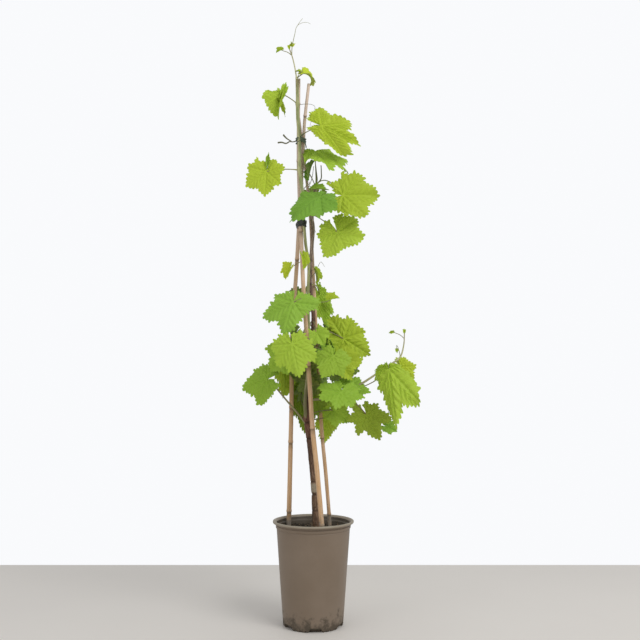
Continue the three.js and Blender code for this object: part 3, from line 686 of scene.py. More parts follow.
def filling_leaves(axes):
    """Smaller leaves inside the lower tier: they leave the arm by the golden angle and face outwards."""
    rng = np.random.default_rng(FILLING_SEED)
    chosen = []
    for k in range(FILLING_PLACES):
        height = FILLING_FOOT + FILLING_RISE * (k * FILLING_STEP % 1)
        bearing = GOLDEN_ANGLE * k % 360
        reach, size, tilt, tip = rng.uniform([16, 26, -5, -40], [44, 46, 25, 40])
        aside, ahead = reach * math.cos(math.radians(bearing)), reach * math.sin(math.radians(bearing))
        if stays_open(height, aside, ahead):
            continue
        chosen.append({
            "stem": "arm",
            "at": height - 6,
            "heart": at_height(axes["arm"], height) + [aside, ahead, -0.15 * reach],
            "faces": [bearing, tilt],
            "tip": tip,
            "size": size,
            "width": 1,
            "back": 0.95,
            "fold": 12 * math.sin(k),
            "droop": 20,
            # Painted shade: the leaves nearest the arm, deep in the foliage, take the dark tint.
            "tint": "dark" if reach < 26 else ("cool", "mid")[k % 2],
        })
    return chosen


def plant_axes():
    """The axes of the canes, and of the stems that carry leaves, by name."""
    shoots = {name: smooth_axis(row["axis"], SHOOT_STEPS) for name, row in SHOOTS.items()}
    canes = {name: smooth_axis(points, STEM_STEPS) for name, points in CANES.items()}
    trunk, arm = smooth_axis(TRUNK, STEM_STEPS // 2), smooth_axis(ARM, STEM_STEPS)
    return {**shoots, **canes, "trunk": trunk, "arm": arm}


STALK_STEPS, STALK_SIDES = 28, 10


def leaf_stalk(leaf, axes):
    """A leaf's stalk: it swells at the stem, arches to the heart of the blade and widens a little there."""
    heart = np.asarray(leaf["heart"], float)
    foot = at_height(axes[leaf["stem"]], leaf["at"])
    middle = (foot + heart) / 2 + [0, 0, 0.1 * np.linalg.norm(heart - foot)]
    axis = arch(foot, leaf.get("via", middle), heart, STALK_STEPS)
    t = np.linspace(0, 1, STALK_STEPS + 1)
    thin = 0.75 if leaf["size"] < 40 else 1  # of the smaller leaves
    radii = thin * (1.05 + 0.9 * bump(t, 0, 0.12) + 0.25 * bump(t, 1, 0.08))
    return limb(axis, rounded_ends(radii, axis), STALK_SIDES, mark=t, tone=0.5)


# ---------- stems, canes, pot and soil ----------


def limb_places(rows, sides):
    """The place of each grid point of a limb round it and along it, each from 0 to 1."""
    return np.arange(sides)[None] / sides, (np.arange(rows) / rows)[:, None]


TRUNK_STEPS, ARM_STEPS, ARM_SIDES = 420, 760, 48


def bark(axis, radii, sides, coarse, seed, scars):
    """A barked limb: long strips of bark stand on its radius, with cracks between and scars across them.

    A strip is seeded noise that is many times longer along the limb than round it, and a crack is where
    it is near zero. `scars` are [height, half width, depth] of rings that cut in.
    """
    turn, along = limb_places(len(axis), sides)
    lean = 0.05 * noise(turn, along, (3, 9), seed)
    strip = noise(turn + lean, along, (9, coarse), seed + 1)
    fibre = noise(turn + lean, along, (21, 3 * coarse), seed + 2)
    crack = 1 - ease(0, 0.28, np.abs(strip))
    fine = noise(turn, along, (24, 8 * coarse), seed + 3)
    relief = 0.075 * strip + 0.045 * fibre + 0.02 * fine - 0.075 * crack
    # The cracks, the sunken fibres and the scars are marked: the finish darkens them, as the bark's darker
    # colour there and as painted shade in the recesses.
    hollow = np.clip(0.75 * crack + 0.5 * np.maximum(-fibre, 0) - 0.4 * strip, 0, 1)
    for height, half, depth in scars:
        cut = bump(axis[:, 2], height, half)[:, None] * (1 + 0.4 * noise(turn, along, (7, 5), seed + 4))
        relief = relief - depth * cut
        hollow = np.clip(hollow + 1.2 * cut, 0, 1)
    return limb(axis, radii[:, None] * (1 + relief), sides, mark=hollow)


CANE_STEPS, CANE_SIDES = 420, 28
CANE_BORE = 7  # how deep the hollow at the top is
BACK_CANE = 0.8  # its thickness, as a share of the others'


def cane(name):
    """A bamboo cane: at each joint a swollen ring with a groove under it, and a hollow flat cut on top."""
    axis = smooth_axis(CANES[name], CANE_STEPS)
    height = axis[:, 2]
    radii = by_height(CANE_RADII, axis) * (BACK_CANE if name == "cane_back" else 1)
    mark = np.zeros(len(axis))
    for joint in CANE_JOINTS[name]:
        radii = radii + 0.75 * bump(height, joint, 2.4) - 0.35 * bump(height, joint - 4.2, 1.5)
        mark = mark + 1.1 * bump(height, joint - 3.5, 1.6) + 0.45 * bump(height, joint - 8, 5)
    # The cut top is marked darker, and the wall of the hole below it takes that mark; in the hole this is
    # painted shade.
    mark = mark + 0.6 * bump(height, height[-1], 1.2)
    seed = len(name) + CANE_JOINTS[name][0]
    turn, along = limb_places(len(axis), CANE_SIDES)
    ribs = 1 + 0.02 * noise(turn, along, (9, 30), seed) + 0.03 * noise(turn, along, (3, 12), seed + 1)
    marks = np.clip(mark, 0, 1)
    return limb(axis, radii[:, None] * ribs, CANE_SIDES, mark=marks, tone=seed % 7 / 7, bore=CANE_BORE)


SHOOT_SIDES, SHOOT_SEED = 20, 5


def shoot(name, axes):
    """A green shoot: it has five faint ribs, swells at each leaf it carries, and rounds off at its tip."""
    axis = axes[name]
    radii = by_height(SHOOTS[name]["radii"], axis)
    reach = lengths(axis)
    for leaf in LEAVES:
        if leaf["stem"] == name:
            here = np.interp(leaf["at"], axis[:, 2], reach)
            radii = radii * (1 + 0.32 * bump(reach, here, 4.5))
    turn, _ = limb_places(len(axis), SHOOT_SIDES)
    grain = 0.02 * noise(turn, reach[:, None] / reach[-1], (5, 20), SHOOT_SEED)
    ribs = 1 + 0.035 * np.sin(5 * TURN * turn) + grain
    tip_mark = bump(reach, reach[-1], 25)
    return limb(axis, rounded_ends(radii, axis)[:, None] * ribs, SHOOT_SIDES, mark=tip_mark)


POT_PROFILE = [  # [radius, height, how far short of the corner its easing starts]
    [0, 3.2, 0], [50, 3.2, 0.5], [52, 0, 0.6], [58.6, 0, 1.2], [60.5, 2.4, 1.2], [60.6, 4, 0], [60.8, 6, 0],
    [60.95, 8, 0], [61, 8.8, 0], [61.1, 10, 0], [61.5, 15, 0], [63.6, 42, 0], [68.5, 108, 0], [73.9, 182, 0],
    [74.35, 188.2, 0.3], [73.9, 189.2, 0.5], [74.1, 190.7, 0.5], [76, 191.8, 0.5], [76.3, 196.4, 0.5],
    [75.2, 197.4, 0.4], [75.3, 200.6, 0.3], [80.8, 200.9, 0.6], [82.5, 202.4, 1.4], [82.2, 205.8, 1.6],
    [78.2, 206, 1.4], [74.3, 202.5, 1.2], [74, 196.6, 0.8], [71.6, 195.4, 0.8], [71.2, 188, 0],
    [66.4, 115, 0], [58.5, 5.3, 0.8], [0, 5.2, 0],
]
NOTCH_BEARINGS = -85 + 60 * np.arange(6)  # of the drainage notches round the foot
NICK_BEARINGS = np.concatenate([NOTCH_BEARINGS - 19, NOTCH_BEARINGS + 20, NOTCH_BEARINGS + 30])
FOOT_RADIUS, POT_HEIGHT = 61, 206
POT_SIDES = 288


def foot_notches(radius, height, turn):
    """Recesses round the pot's foot: wide ones with slanting sides, and small rounded nicks between them.

    A point lower than the recess at its bearing moves in by the depth, and the edge of a recess is eased.
    """
    def apart(bearings):
        away = (turn[:, None] - np.radians(bearings) + math.pi) % TURN - math.pi
        return np.abs(away).min(axis=1) * FOOT_RADIUS

    notch, nick = apart(NOTCH_BEARINGS), apart(NICK_BEARINGS)
    wide = ease(0, 1, (16.2 - 0.75 * height - notch) / 1.6) * ease(0, 1, (8.9 - height) / 0.8)
    small = ease(0, 1, (2.6 - 0.35 * height - nick) / 1.6) * ease(0, 1, (4.4 - height) / 1.6)
    outer = (radius > 51) & (np.arange(len(radius))[:, None] < np.argmax(radius[:, 0]))
    lip = 0.9 * bump(height, 9.6, 1.3) * ease(0, 1, (13 - notch) / 2)
    sway = 0.22 * np.sin(3 * turn + 1) * (height / POT_HEIGHT) ** 2
    ripple = 0.3 * bump(notch, 17, 4) * ease(12, 2, height) * np.sin(notch * 1.3)
    moved = radius + outer * (lip + ripple - 9 * wide - 3.4 * small) + sway
    return np.where(outer, np.maximum(moved, 50.5), moved), height


def pot():
    """The pot: one turned shell with a rolled lip, a stepped collar, and recesses round its foot.

    It is marked on the inside, below its lip, where its finish paints shade.
    """
    profile = eased_profile(POT_PROFILE)
    inside = (np.arange(len(profile)) > np.argmax(profile[:, 0])) & (profile[:, 1] < 202)
    marks = np.append(np.repeat(inside[1:-1], POT_SIDES), [False, True]).astype(float)
    return turned(profile, POT_SIDES, foot_notches, marks)


SOIL_TOP = 188
SOIL_FOOT = 150  # its flat underside
SOIL_RADIUS, SOIL_FOOT_RADIUS = 70.6, 67
HUMP_FIELD = 160  # the side of the square of noise that the humps come from
HUMP_SEED, CRUMB_SEED = 31, 41
CRUMBS, CHIPS = 2600, 240  # how many there are
SOIL_RINGS, SOIL_SIDES = 62, 150


def soil_height(x, y):
    """How far the soil stands above its level: seeded humps, mounded a little round the trunk."""
    u, v = x / HUMP_FIELD + 0.5, y / HUMP_FIELD + 0.5
    layers = ((1.5, 7), (0.9, 17), (0.5, 41))  # height, and cells across the field
    humps = sum(high * noise(u, v, (cells, cells), HUMP_SEED + k) for k, (high, cells) in enumerate(layers))
    return humps - 1.2 + 2.5 * bump(np.hypot(x - TRUNK[0][0], y - TRUNK[0][1]), 0, 16)


def soil():
    """The soil: a turned body of many rings, with its humps, and closed by a skirt and a flat underside."""
    rings = np.linspace(SOIL_RADIUS, 0, SOIL_RINGS)[:-1]
    foot = [[0, SOIL_FOOT], [SOIL_FOOT_RADIUS, SOIL_FOOT]]
    profile = [*foot, *[[ring, SOIL_TOP] for ring in rings], [0, SOIL_TOP]]

    def shape(radius, height, turn):
        humps = soil_height(radius * np.cos(turn), radius * np.sin(turn))
        return radius, np.where(height > SOIL_FOOT, height + humps, height)

    body = turned(profile, SOIL_SIDES, shape)
    body.points[-1, 2] = (SOIL_TOP + soil_height(0, 0)) * MM
    return body


def scattered(rng, count):
    """Seeded places all over the soil, evenly by area, but for a small ring at its middle and its rim."""
    reach = np.sqrt(rng.uniform((4 / SOIL_RADIUS) ** 2, 0.97, count)) * SOIL_RADIUS
    turn = rng.uniform(0, TURN, count)
    x, y = reach * np.cos(turn), reach * np.sin(turn)
    return np.stack([x, y, SOIL_TOP + soil_height(x, y)], -1)


def crumbs():
    """Crumbs of soil, most of them small, and flat chips of bark in paler tones."""
    rng = np.random.default_rng(CRUMB_SEED)
    sizes = 0.7 + 2.2 * rng.uniform(0, 1, CRUMBS) ** 3
    grains = lumps(rng, scattered(rng, CRUMBS) + [0, 0, 0.3], sizes)
    chips = lumps(rng, scattered(rng, CHIPS) + [0, 0, 0.8], rng.uniform(2, 5.5, CHIPS), (0.18, 1))
    chips.tone = 0.4 + 0.6 * chips.tone
    return joined([grains, chips])


TOP_TIE_ENDS = [  # where the loose ends of the ties lie
    [[-25, -23, 990], [-20, -27, 987], [-16, -27, 979], [-15, -25, 972]],
    [[-28, -24, 996], [-24, -29, 999], [-19, -28, 1003]],
]
MIDDLE_TIE_END = [[-22, -31, 814], [-18, -33, 811], [-15, -31, 804]]
TIED = {"cane_left": 3.9, "cane_front": 3.9, "leader": 3}  # what the ties hold, and its radius there
TAPE_ROUND, TAPE_CORNERS = 96, 14  # points round the stems, and round the tape's own section


def tie_outline(height, axes):
    """Where a tie lies round its stems at a height: at each turn, the furthest of their sections."""
    turn = ring_turns(TAPE_ROUND)
    heading = np.stack([np.cos(turn), np.sin(turn)], -1)
    centres = np.array([at_height(axes[name], height)[:2] for name in TIED])
    radii = np.array(list(TIED.values()))
    far = np.argmax(heading @ centres.T + radii, axis=1)
    return centres[far] + radii[far, None] * heading, heading


def tie_wrap(axes, height, tall, level, tilt, seed):
    """One turn of tape: a flat section, carried round the outline of the stems, creased by seeded noise."""
    outline, heading = tie_outline(height, axes)
    corner = ring_turns(TAPE_CORNERS)
    turn = (np.arange(TAPE_ROUND) / TAPE_ROUND)[:, None]
    place = corner[None] / TURN
    crease = noise(turn, place, (11, 3), seed) + 0.6 * noise(turn, place, (23, 4), seed + 1)
    out = level + 0.6 + 0.7 * crease + 0.55 * np.cos(corner)
    flat = outline[:, None] + out[..., None] * heading[:, None]
    rise = height + tall / 2 * np.sin(corner) * (1 + 0.15 * noise(turn, 0 * place, (9, 1), seed + 2))
    rise = rise + tilt * np.cos(turn * TURN + seed)
    points = np.concatenate([flat, rise[..., None]], -1).reshape(-1, 3) * MM
    triangles = grid_triangles(TAPE_ROUND, TAPE_CORNERS, wrap_rows=True)[:, ::-1]
    return Part(points, triangles, tone=level / 3)


def ribbon(points, width, thick, twist):
    """A loose end of tape: a flat closed section carried along an axis, which twists on its way."""
    rows, sides = 25, 12
    axis = smooth_axis(points, rows - 1)
    _, side, other = directions(axis)
    angle = np.linspace(0, twist, rows)[:, None]
    across = (side * np.cos(angle) + other * np.sin(angle))[:, None]
    through = (other * np.cos(angle) - side * np.sin(angle))[:, None]
    corner = ring_turns(sides)[:, None]
    taper = np.sqrt(np.clip(1 - np.linspace(-1, 1, rows) ** 8, 0.01, 1))[:, None, None]
    section = across * (width / 2 * np.cos(corner)) + through * (thick / 2 * np.sin(corner))
    ring = axis[:, None] + taper * section
    points = np.vstack([ring.reshape(-1, 3), axis[0], axis[-1]]) * MM
    return Part(points, tube_triangles(rows, sides), tone=0.5)


# ---------- tendrils, buds and twiglets ----------

# [points, radius at the foot, radius at the tip, dry from 0 to 1]
TENDRILS = [
    [[[-46, -13, 1176], [-46, -13, 1190], [-45, -13, 1201], [-40, -14, 1224], [-37, -14, 1238],
      [-29, -13, 1252], [-23, -12, 1261]], 1, 0.35, 0.1],
    [[[-36, -14, 1241], [-33, -12, 1246], [-22, -10, 1252], [-13, -10, 1252], [-6, -11, 1248]],
     0.5, 0.3, 0.1],
    [[[-47, -13, 1179], [-54, -14, 1184], [-62, -14, 1187], [-68, -14, 1189]], 1, 0.6, 0.1],
    [[[-36, -13, 1122], [-33, -15, 1131], [-28, -16, 1139], [-22, -16, 1142]], 0.9, 0.7, 0.2],
    [[[-35, -10, 993], [-44, -10, 991], [-52, -10, 992]], 1.3, 1, 1],
    [[[-46, -10, 992], [-55, -11, 997], [-61, -10, 1003], [-64, -10, 1007]], 1, 2, 1],
    [[[-50, -10, 992], [-58, -9, 988], [-67, -10, 990], [-76, -10, 989]], 1.2, 1.8, 1],
    [[[-28, -15, 1070], [-14, -16, 1071], [-2, -16, 1069], [3, -16, 1065], [2, -16, 1058]], 0.55, 0.35, 0.9],
    [[[2, -16, 1058], [-2, -16, 1046], [-4, -16, 1036], [-7, -16, 1023], [-6, -16, 1012]], 0.4, 0.3, 0.9],
    [[[-20, -18, 888], [-15, -20, 894], [-14, -20, 904]], 1, 0.6, 0.7],
    [[[-15, -20, 893], [-9, -20, 898], [-8, -20, 903]], 0.7, 0.5, 0.7],
    [[[-10.5, 0, 894.5], [-3.1, -1, 916], [0.5, -2, 941.9]], 0.7, 0.6, 0.5],
    [[[6, 0, 904], [7.5, 0, 912], [6, -1, 928], [4.3, -1, 944]], 1.6, 1.1, 0.8],
    [[[6, 0, 902], [15.9, 0, 914], [16.5, 0, 930], [15.9, -1, 944]], 1.4, 1, 0.8],
    [[[-9, -8, 836], [-9, -18, 833], [-3, -25, 816], [5.5, -25, 793]], 0.6, 0.4, 0.9],
    [[[-6, 2, 717], [7.5, 5, 725], [15.5, 5, 737.5], [24, 5, 727]], 0.6, 0.35, 0.3],
    [[[178, -22, 537], [176, -22, 548], [171, -22, 561], [170, -23, 551]], 0.8, 0.5, 0.4],
    [[[187, -22, 574], [178, -22, 582], [163.5, -22, 588]], 0.8, 0.7, 0.2],
    [[[-7, -1, 846], [-3, -6, 840], [-3, -6, 833]], 0.9, 0.5, 1],
]

BUD_COLUMNS = ("heart", "faces", "tip", "size", "width", "fold", "tint")
BUDS = [  # the smallest leaves, the buds, and the lobes that stand apart
    [[-68, -14, 1190], [-95, 20], -70, 14, 0.8, 35, "young"],
    [[-46, -13, 1199], [-60, 30], 160, 13, 0.8, 45, "young"],
    [[-45, -13, 1200], [-140, 10], -150, 11, 0.8, 50, "young"],
    [[-30, -15, 1142], [-100, 50], -120, 12, 0.8, 30, "young"],
    [[-52, -13, 1194], [-90, 10], -165, 9, 0.8, 50, "young"],
    [[163.5, -22, 588], [-90, 10], -80, 9, 0.8, 45, "young"],
    [[186, -22, 588], [-80, 20], 175, 8, 0.8, 40, "young"],
    [[170, -23, 552], [-90, 30], 10, 8, 0.8, 40, "young"],
    [[-66, -15, 1091], [-80, 5], 163, 37, 0.32, 30, "bright"],
    [[-72, -15, 1074], [-60, 5], 32, 32, 0.35, 30, "dark"],
    [[-96, -20, 940], [-90, 5], 176, 28, 0.28, 30, "bright"],
]


TENDRIL_STEPS, TENDRIL_SIDES = 12, 8  # between two of its points, and round it


def tendril(points, foot, tip, dry):
    """A tendril or a dried twiglet: a thin limb that tapers evenly from its foot to its tip."""
    axis = smooth_axis(points, TENDRIL_STEPS * (len(points) - 1))
    radii = np.linspace(foot, tip, len(axis))
    return limb(axis, rounded_ends(radii, axis), TENDRIL_SIDES, mark=dry, tone=dry)


def buds():
    """The smallest leaves, as leaves that bend down by their tips."""
    return [{**dict(zip(BUD_COLUMNS, row)), "back": 0.8, "droop": 25} for row in BUDS]


# ---------- finishes ----------
# Heights and bump distances are in metres here, and a pattern's size is its cells to a metre.


def colour(text):
    """A display colour such as "7a6c5f" as the linear red, green, blue and alpha that shaders take."""
    share = np.array([int(text[k:k + 2], 16) for k in (0, 2, 4)]) / 255
    linear = np.where(share <= 0.04045, share / 12.92, ((share + 0.055) / 1.055) ** 2.4)
    return [*linear.tolist(), 1]


class Nodes:
    """A shader tree being built: each call adds a node, and fills or links its inputs."""

    def __init__(self, tree):
        self.tree = tree

    def feed(self, socket, value):
        """Link an input to another node's output, or fill it with a number or a colour."""
        if isinstance(value, bpy.types.NodeSocket):
            self.tree.links.new(value, socket)
        else:
            socket.default_value = value

    def add(self, kind, inputs=(), **settings):
        """A node of any kind, as its outputs."""
        node = self.tree.nodes.new("ShaderNode" + kind)
        for label, value in settings.items():
            setattr(node, label, value)
        for label, value in dict(inputs).items():
            self.feed(node.inputs[label], value)
        return node.outputs

    def group(self, name, inputs):
        """One of the groups below, as its outputs."""
        return self.add("Group", inputs, node_tree=bpy.data.node_groups[name])

    def math(self, operation, *values):
        """One of the Math node's operations."""
        return self.add("Math", enumerate(values), operation=operation)[0]

    def plus(self, first, second):
        """A sum."""
        return self.math("ADD", first, second)

    def times(self, first, second):
        """A product."""
        return self.math("MULTIPLY", first, second)

    def mix(self, share, low, high):
        """One colour turning into another as a share goes from 0 to 1."""
        return self.add("Mix", {0: share, 6: low, 7: high}, data_type="RGBA")[2]

    def over(self, base, top, mask, share):
        """A colour with another laid over it where a mask is, by a share of the mask."""
        return self.mix(self.times(mask, share), base, top)

    def eased(self, value, low, high, start=0.0, stop=1.0):
        """From `start` to `stop` as a value goes from `low` to `high`, slowly at both ends."""
        inputs = {0: value, 1: low, 2: high, 3: start, 4: stop}
        return self.add("MapRange", inputs, interpolation_type="SMOOTHSTEP")[0]

    def shade(self, base, value=1.0, saturation=1.0, hue=0.5):
        """A colour made lighter or darker, duller or stronger, or turned in hue from 0.5."""
        inputs = {"Color": base, "Value": value, "Saturation": saturation, "Hue": hue}
        return self.add("HueSaturation", inputs)[0]

    def spots(self, place, size, detail, roughness=0.5):
        """Cloudy noise, from 0 to 1."""
        inputs = {"Vector": place, "Scale": size, "Detail": detail, "Roughness": roughness}
        return self.add("TexNoise", inputs)["Fac"]

    def raised(self, height, strength, distance):
        """The normals of a surface that a height raises."""
        return self.add("Bump", {"Height": height, "Strength": strength, "Distance": distance})[0]

    def height_of(self, place):
        """How high a place is."""
        return self.add("SeparateXYZ", {0: place})[2]

    def value_of(self, name):
        """A value that the mesh holds at its points, such as its mark or its tone."""
        return self.add("Attribute", attribute_name=name)["Fac"]


class Finish(Nodes):
    """A material being built: where its surface is, its broad and fine mottling, and its shader to fill."""

    def __init__(self, name, broad_size, fine_size):
        self.material = bpy.data.materials.new(name)
        self.material.use_nodes = True
        super().__init__(self.material.node_tree)
        self.shader = self.tree.nodes["Principled BSDF"]
        where = self.add("TexCoord")
        self.place = where["Object"]
        self.own_map = where["UV"]
        sizes = {"Place": self.place, "Broad size": broad_size, "Fine size": fine_size}
        mottle = self.group("Mottle", sizes)
        self.broad = mottle["Broad"]
        self.fine = mottle["Fine"]

    def grain(self, scale, stretch):
        """The lengthwise grain of this surface, as its streaks and its fibres."""
        return self.group("Lengthwise grain", {"Place": self.place, "Scale": scale, "Stretch": stretch})

    def dirt(self, foot, clean):
        """The dirt on this surface, from the height of its foot up to where it is clean."""
        inputs = {"Place": self.place, "Foot": foot, "Clean": clean, "Amount": 0.9}
        return self.group("Soiling", inputs)["Dirt"]

    def fill(self, inputs):
        """The finished material, with these inputs of its shader filled or linked."""
        for label, value in inputs.items():
            self.feed(self.shader.inputs[label], value)
        return self.material


def open_group(name, inputs, outputs):
    """A new shader group with named sockets, as its nodes, its inputs and where its outputs go."""
    tree = bpy.data.node_groups.new(name, "ShaderNodeTree")
    for label, (kind, value) in inputs.items():
        socket = tree.interface.new_socket(label, in_out="INPUT", socket_type="NodeSocket" + kind)
        if value is not None:
            socket.default_value = value
    for label in outputs:
        tree.interface.new_socket(label, in_out="OUTPUT", socket_type="NodeSocketFloat")
    return Nodes(tree), tree.nodes.new("NodeGroupInput").outputs, tree.nodes.new("NodeGroupOutput").inputs


def make_mottle():
    """Uneven colour: broad patches and fine specks of a surface, each from 0 to 1."""
    nodes, given, result = open_group(
        "Mottle",
        {"Place": ("Vector", None), "Broad size": ("Float", 30.0), "Fine size": ("Float", 400.0)},
        ["Broad", "Fine"],
    )
    for label in ("Broad", "Fine"):
        spots = nodes.spots(given["Place"], given[label + " size"], 3.0)
        nodes.feed(result[label], nodes.eased(spots, 0.3, 0.7))


def make_grain():
    """Grain that runs up a stem: noise stretched along Z, as wide streaks and fine fibres from 0 to 1."""
    nodes, given, result = open_group(
        "Lengthwise grain",
        {"Place": ("Vector", None), "Scale": ("Float", 300.0), "Stretch": ("Float", 0.05)},
        ["Streaks", "Fibres"],
    )
    flat = nodes.add("CombineXYZ", {0: 1.0, 1: 1.0, 2: given["Stretch"]})[0]
    along = nodes.add("VectorMath", {0: given["Place"], 1: flat}, operation="MULTIPLY")[0]
    for label, size in (("Streaks", given["Scale"]), ("Fibres", nodes.times(given["Scale"], 3.4))):
        nodes.feed(result[label], nodes.eased(nodes.spots(along, size, 2.0), 0.35, 0.65))


def make_soiling():
    """Splashed dirt: strongest at a foot height and gone at a clean height, and broken up by noise."""
    nodes, given, result = open_group(
        "Soiling",
        {"Place": ("Vector", None), "Foot": ("Float", 0.0), "Clean": ("Float", 0.05),
         "Amount": ("Float", 1.0)},
        ["Dirt"],
    )
    height = nodes.height_of(given["Place"])
    low = nodes.add("MapRange", {0: height, 1: given["Foot"], 2: given["Clean"], 3: 1.0, 4: 0.0})[0]
    spots = nodes.spots(given["Place"], 70.0, 5.0, 0.7)
    rough = nodes.plus(low, nodes.times(nodes.math("SUBTRACT", spots, 0.5), 2.4))
    kept = nodes.times(nodes.eased(rough, 0.35, 1.0), nodes.eased(low, 0.0, 0.25))
    nodes.feed(result["Dirt"], nodes.times(kept, given["Amount"]))


def make_veins():
    """A leaf's veins from its own map: main veins fan from the heart and side veins leave them at even gaps.

    With the angle folded into half a lobe step and the distance r from the heart, a point is r sin angle
    away from its main vein, and its side vein starts r cos angle - lean times that along it.
    """
    nodes, given, result = open_group(
        "Leaf veins",
        {"Leaf map": ("Vector", None), "Lobe step": ("Float", LOBE_STEP), "Lean": ("Float", VEIN_LEAN),
         "Spacing": ("Float", SIDE_VEIN_SPACING), "Width": ("Float", 0.013)},
        ["Main", "Side", "Net", "Panel", "Reach"],
    )
    heart = (MAP_HEART, MAP_HEART, 0.0)
    moved = nodes.add("VectorMath", {0: given["Leaf map"], 1: heart}, operation="SUBTRACT")[0]
    scaled = nodes.add("VectorMath", {0: moved, 3: 1 / MAP_SHARE}, operation="SCALE")[0]
    parts = nodes.add("SeparateXYZ", {0: scaled})
    across = nodes.math("ABSOLUTE", parts[1])
    squares = nodes.plus(nodes.math("POWER", across, 2.0), nodes.times(parts[0], parts[0]))
    reach = nodes.math("SQRT", squares)
    turn = nodes.math("ARCTAN2", across, parts[0])
    folded = nodes.math("PINGPONG", turn, nodes.times(given["Lobe step"], 0.5))
    away = nodes.times(reach, nodes.math("SINE", folded))
    lean = nodes.times(away, given["Lean"])
    along = nodes.math("SUBTRACT", nodes.times(reach, nodes.math("COSINE", folded)), lean)
    half = nodes.times(given["Width"], nodes.math("SUBTRACT", 1.2, reach))
    main = nodes.math("DIVIDE", away, nodes.math("MAXIMUM", half, 0.002))
    half_spacing = nodes.times(given["Spacing"], 0.5)
    between = nodes.math("PINGPONG", along, half_spacing)
    side = nodes.math("DIVIDE", between, given["Width"])
    net = nodes.add("TexVoronoi", {"Vector": given["Leaf map"], "Scale": 34.0}, feature="DISTANCE_TO_EDGE")
    nodes.feed(result["Main"], nodes.eased(main, 0.5, 1.5, 1.0, 0.0))
    nodes.feed(result["Side"], nodes.eased(side, 0.15, 0.75, 1.0, 0.0))
    nodes.feed(result["Net"], nodes.eased(net["Distance"], 0.0, 0.12, 1.0, 0.0))
    nodes.feed(result["Panel"], nodes.math("DIVIDE", between, half_spacing))
    nodes.feed(result["Reach"], reach)


def leaf_finish(name, tint_colour, under, translucency):
    """A leaf: a pale blade, deeper and mottled between its side veins, whose underside is greyer and matt.

    A share of the light comes through it, and its tone moves it a little towards yellow or towards green
    from leaf to leaf, at random or as set, where it is partly painted light and shade.
    """
    nodes = Finish(name, 42.0, 420.0)
    veins = nodes.group("Leaf veins", {"Leaf map": nodes.own_map})
    tone = nodes.value_of("tone")
    turned_under = nodes.value_of("mark")
    value = nodes.eased(tone, 0, 1, 1.16, 0.86)
    hue = nodes.eased(tone, 0, 1, 0.492, 0.512)
    fresh = nodes.shade(tint_colour, value=value, hue=hue)
    deep = nodes.shade(fresh, value=0.74, saturation=1.06, hue=0.508)
    pale = nodes.shade(fresh, value=1.34, saturation=0.95)
    skin = nodes.over(fresh, deep, nodes.broad, 0.55)
    skin = nodes.mix(nodes.eased(veins["Reach"], 0.45, 0.95, 0.0, 0.35), skin, pale)
    skin = nodes.over(skin, deep, nodes.fine, 0.16)
    skin = nodes.over(pale, skin, veins["Panel"], 0.2)
    skin = nodes.over(skin, pale, veins["Net"], 0.15)
    vein = nodes.math("MAXIMUM", veins["Main"], nodes.times(veins["Side"], 0.5))
    skin = nodes.over(skin, pale, vein, 0.75)
    skin = nodes.over(skin, under, turned_under, 0.6)
    height = nodes.math("SUBTRACT", nodes.times(nodes.fine, 0.12), nodes.times(vein, 0.3))
    height = nodes.plus(height, nodes.times(veins["Net"], -0.12))
    outward = nodes.eased(turned_under, 0, 1, 1.0, -1.0)
    normal = nodes.raised(nodes.times(height, outward), 0.55, 0.0011)
    rough = nodes.plus(nodes.eased(nodes.broad, 0, 1, 0.46, 0.58), nodes.times(turned_under, 0.2))
    nodes.fill({"Base Color": skin, "Roughness": rough, "Normal": normal, "Specular IOR Level": 0.16})
    glow = nodes.shade(skin, value=1.35, saturation=1.12, hue=0.492)
    through = nodes.add("BsdfTranslucent", {"Color": glow, "Normal": normal})[0]
    both = nodes.add("MixShader", {0: translucency, 1: nodes.shader.outputs[0], 2: through})[0]
    nodes.feed(nodes.tree.nodes["Material Output"].inputs["Surface"], both)
    return nodes.material


def pot_finish(shell):
    """Moulded plastic: faint flow lines and specks, a satin sheen, scuffs, dirt splashed up its foot, a
    painted highlight along the top of its lip and painted shade inside.
    """
    nodes = Finish("pot_plastic", 14.0, 900.0)
    grain = nodes.grain(45.0, 0.25)
    dirt = nodes.dirt(0.0, 0.05)
    dark = nodes.shade(shell, value=0.94)
    light = nodes.shade(shell, value=1.07, saturation=0.92)
    skin = nodes.mix(nodes.broad, dark, light)
    # Painted highlight: the top of the lip is mixed towards a pale grey.
    lip = nodes.eased(nodes.height_of(nodes.place), 0.2004, 0.2052, 0.0, 0.5)
    skin = nodes.mix(lip, skin, colour("b9b4a0"))
    # Painted shade: the inside below the lip is darkened to a grey brown.
    skin = nodes.over(skin, colour("3f4038"), nodes.value_of("mark"), 0.75)
    skin = nodes.over(skin, light, grain["Streaks"], 0.18)
    skin = nodes.over(skin, dark, nodes.fine, 0.12)
    skin = nodes.mix(dirt, skin, colour("4c4336"))
    scuffs = nodes.spots(nodes.place, 160.0, 6.0, 0.8)
    skin = nodes.mix(nodes.eased(scuffs, 0.62, 0.74, 0.0, 0.35), skin, light)
    height = nodes.plus(nodes.times(nodes.fine, 0.3), nodes.times(dirt, 0.5))
    rough = nodes.plus(nodes.eased(nodes.broad, 0, 1, 0.36, 0.48), nodes.times(dirt, 0.35))
    return nodes.fill({"Base Color": skin, "Roughness": rough, "Normal": nodes.raised(height, 0.25, 0.0004)})


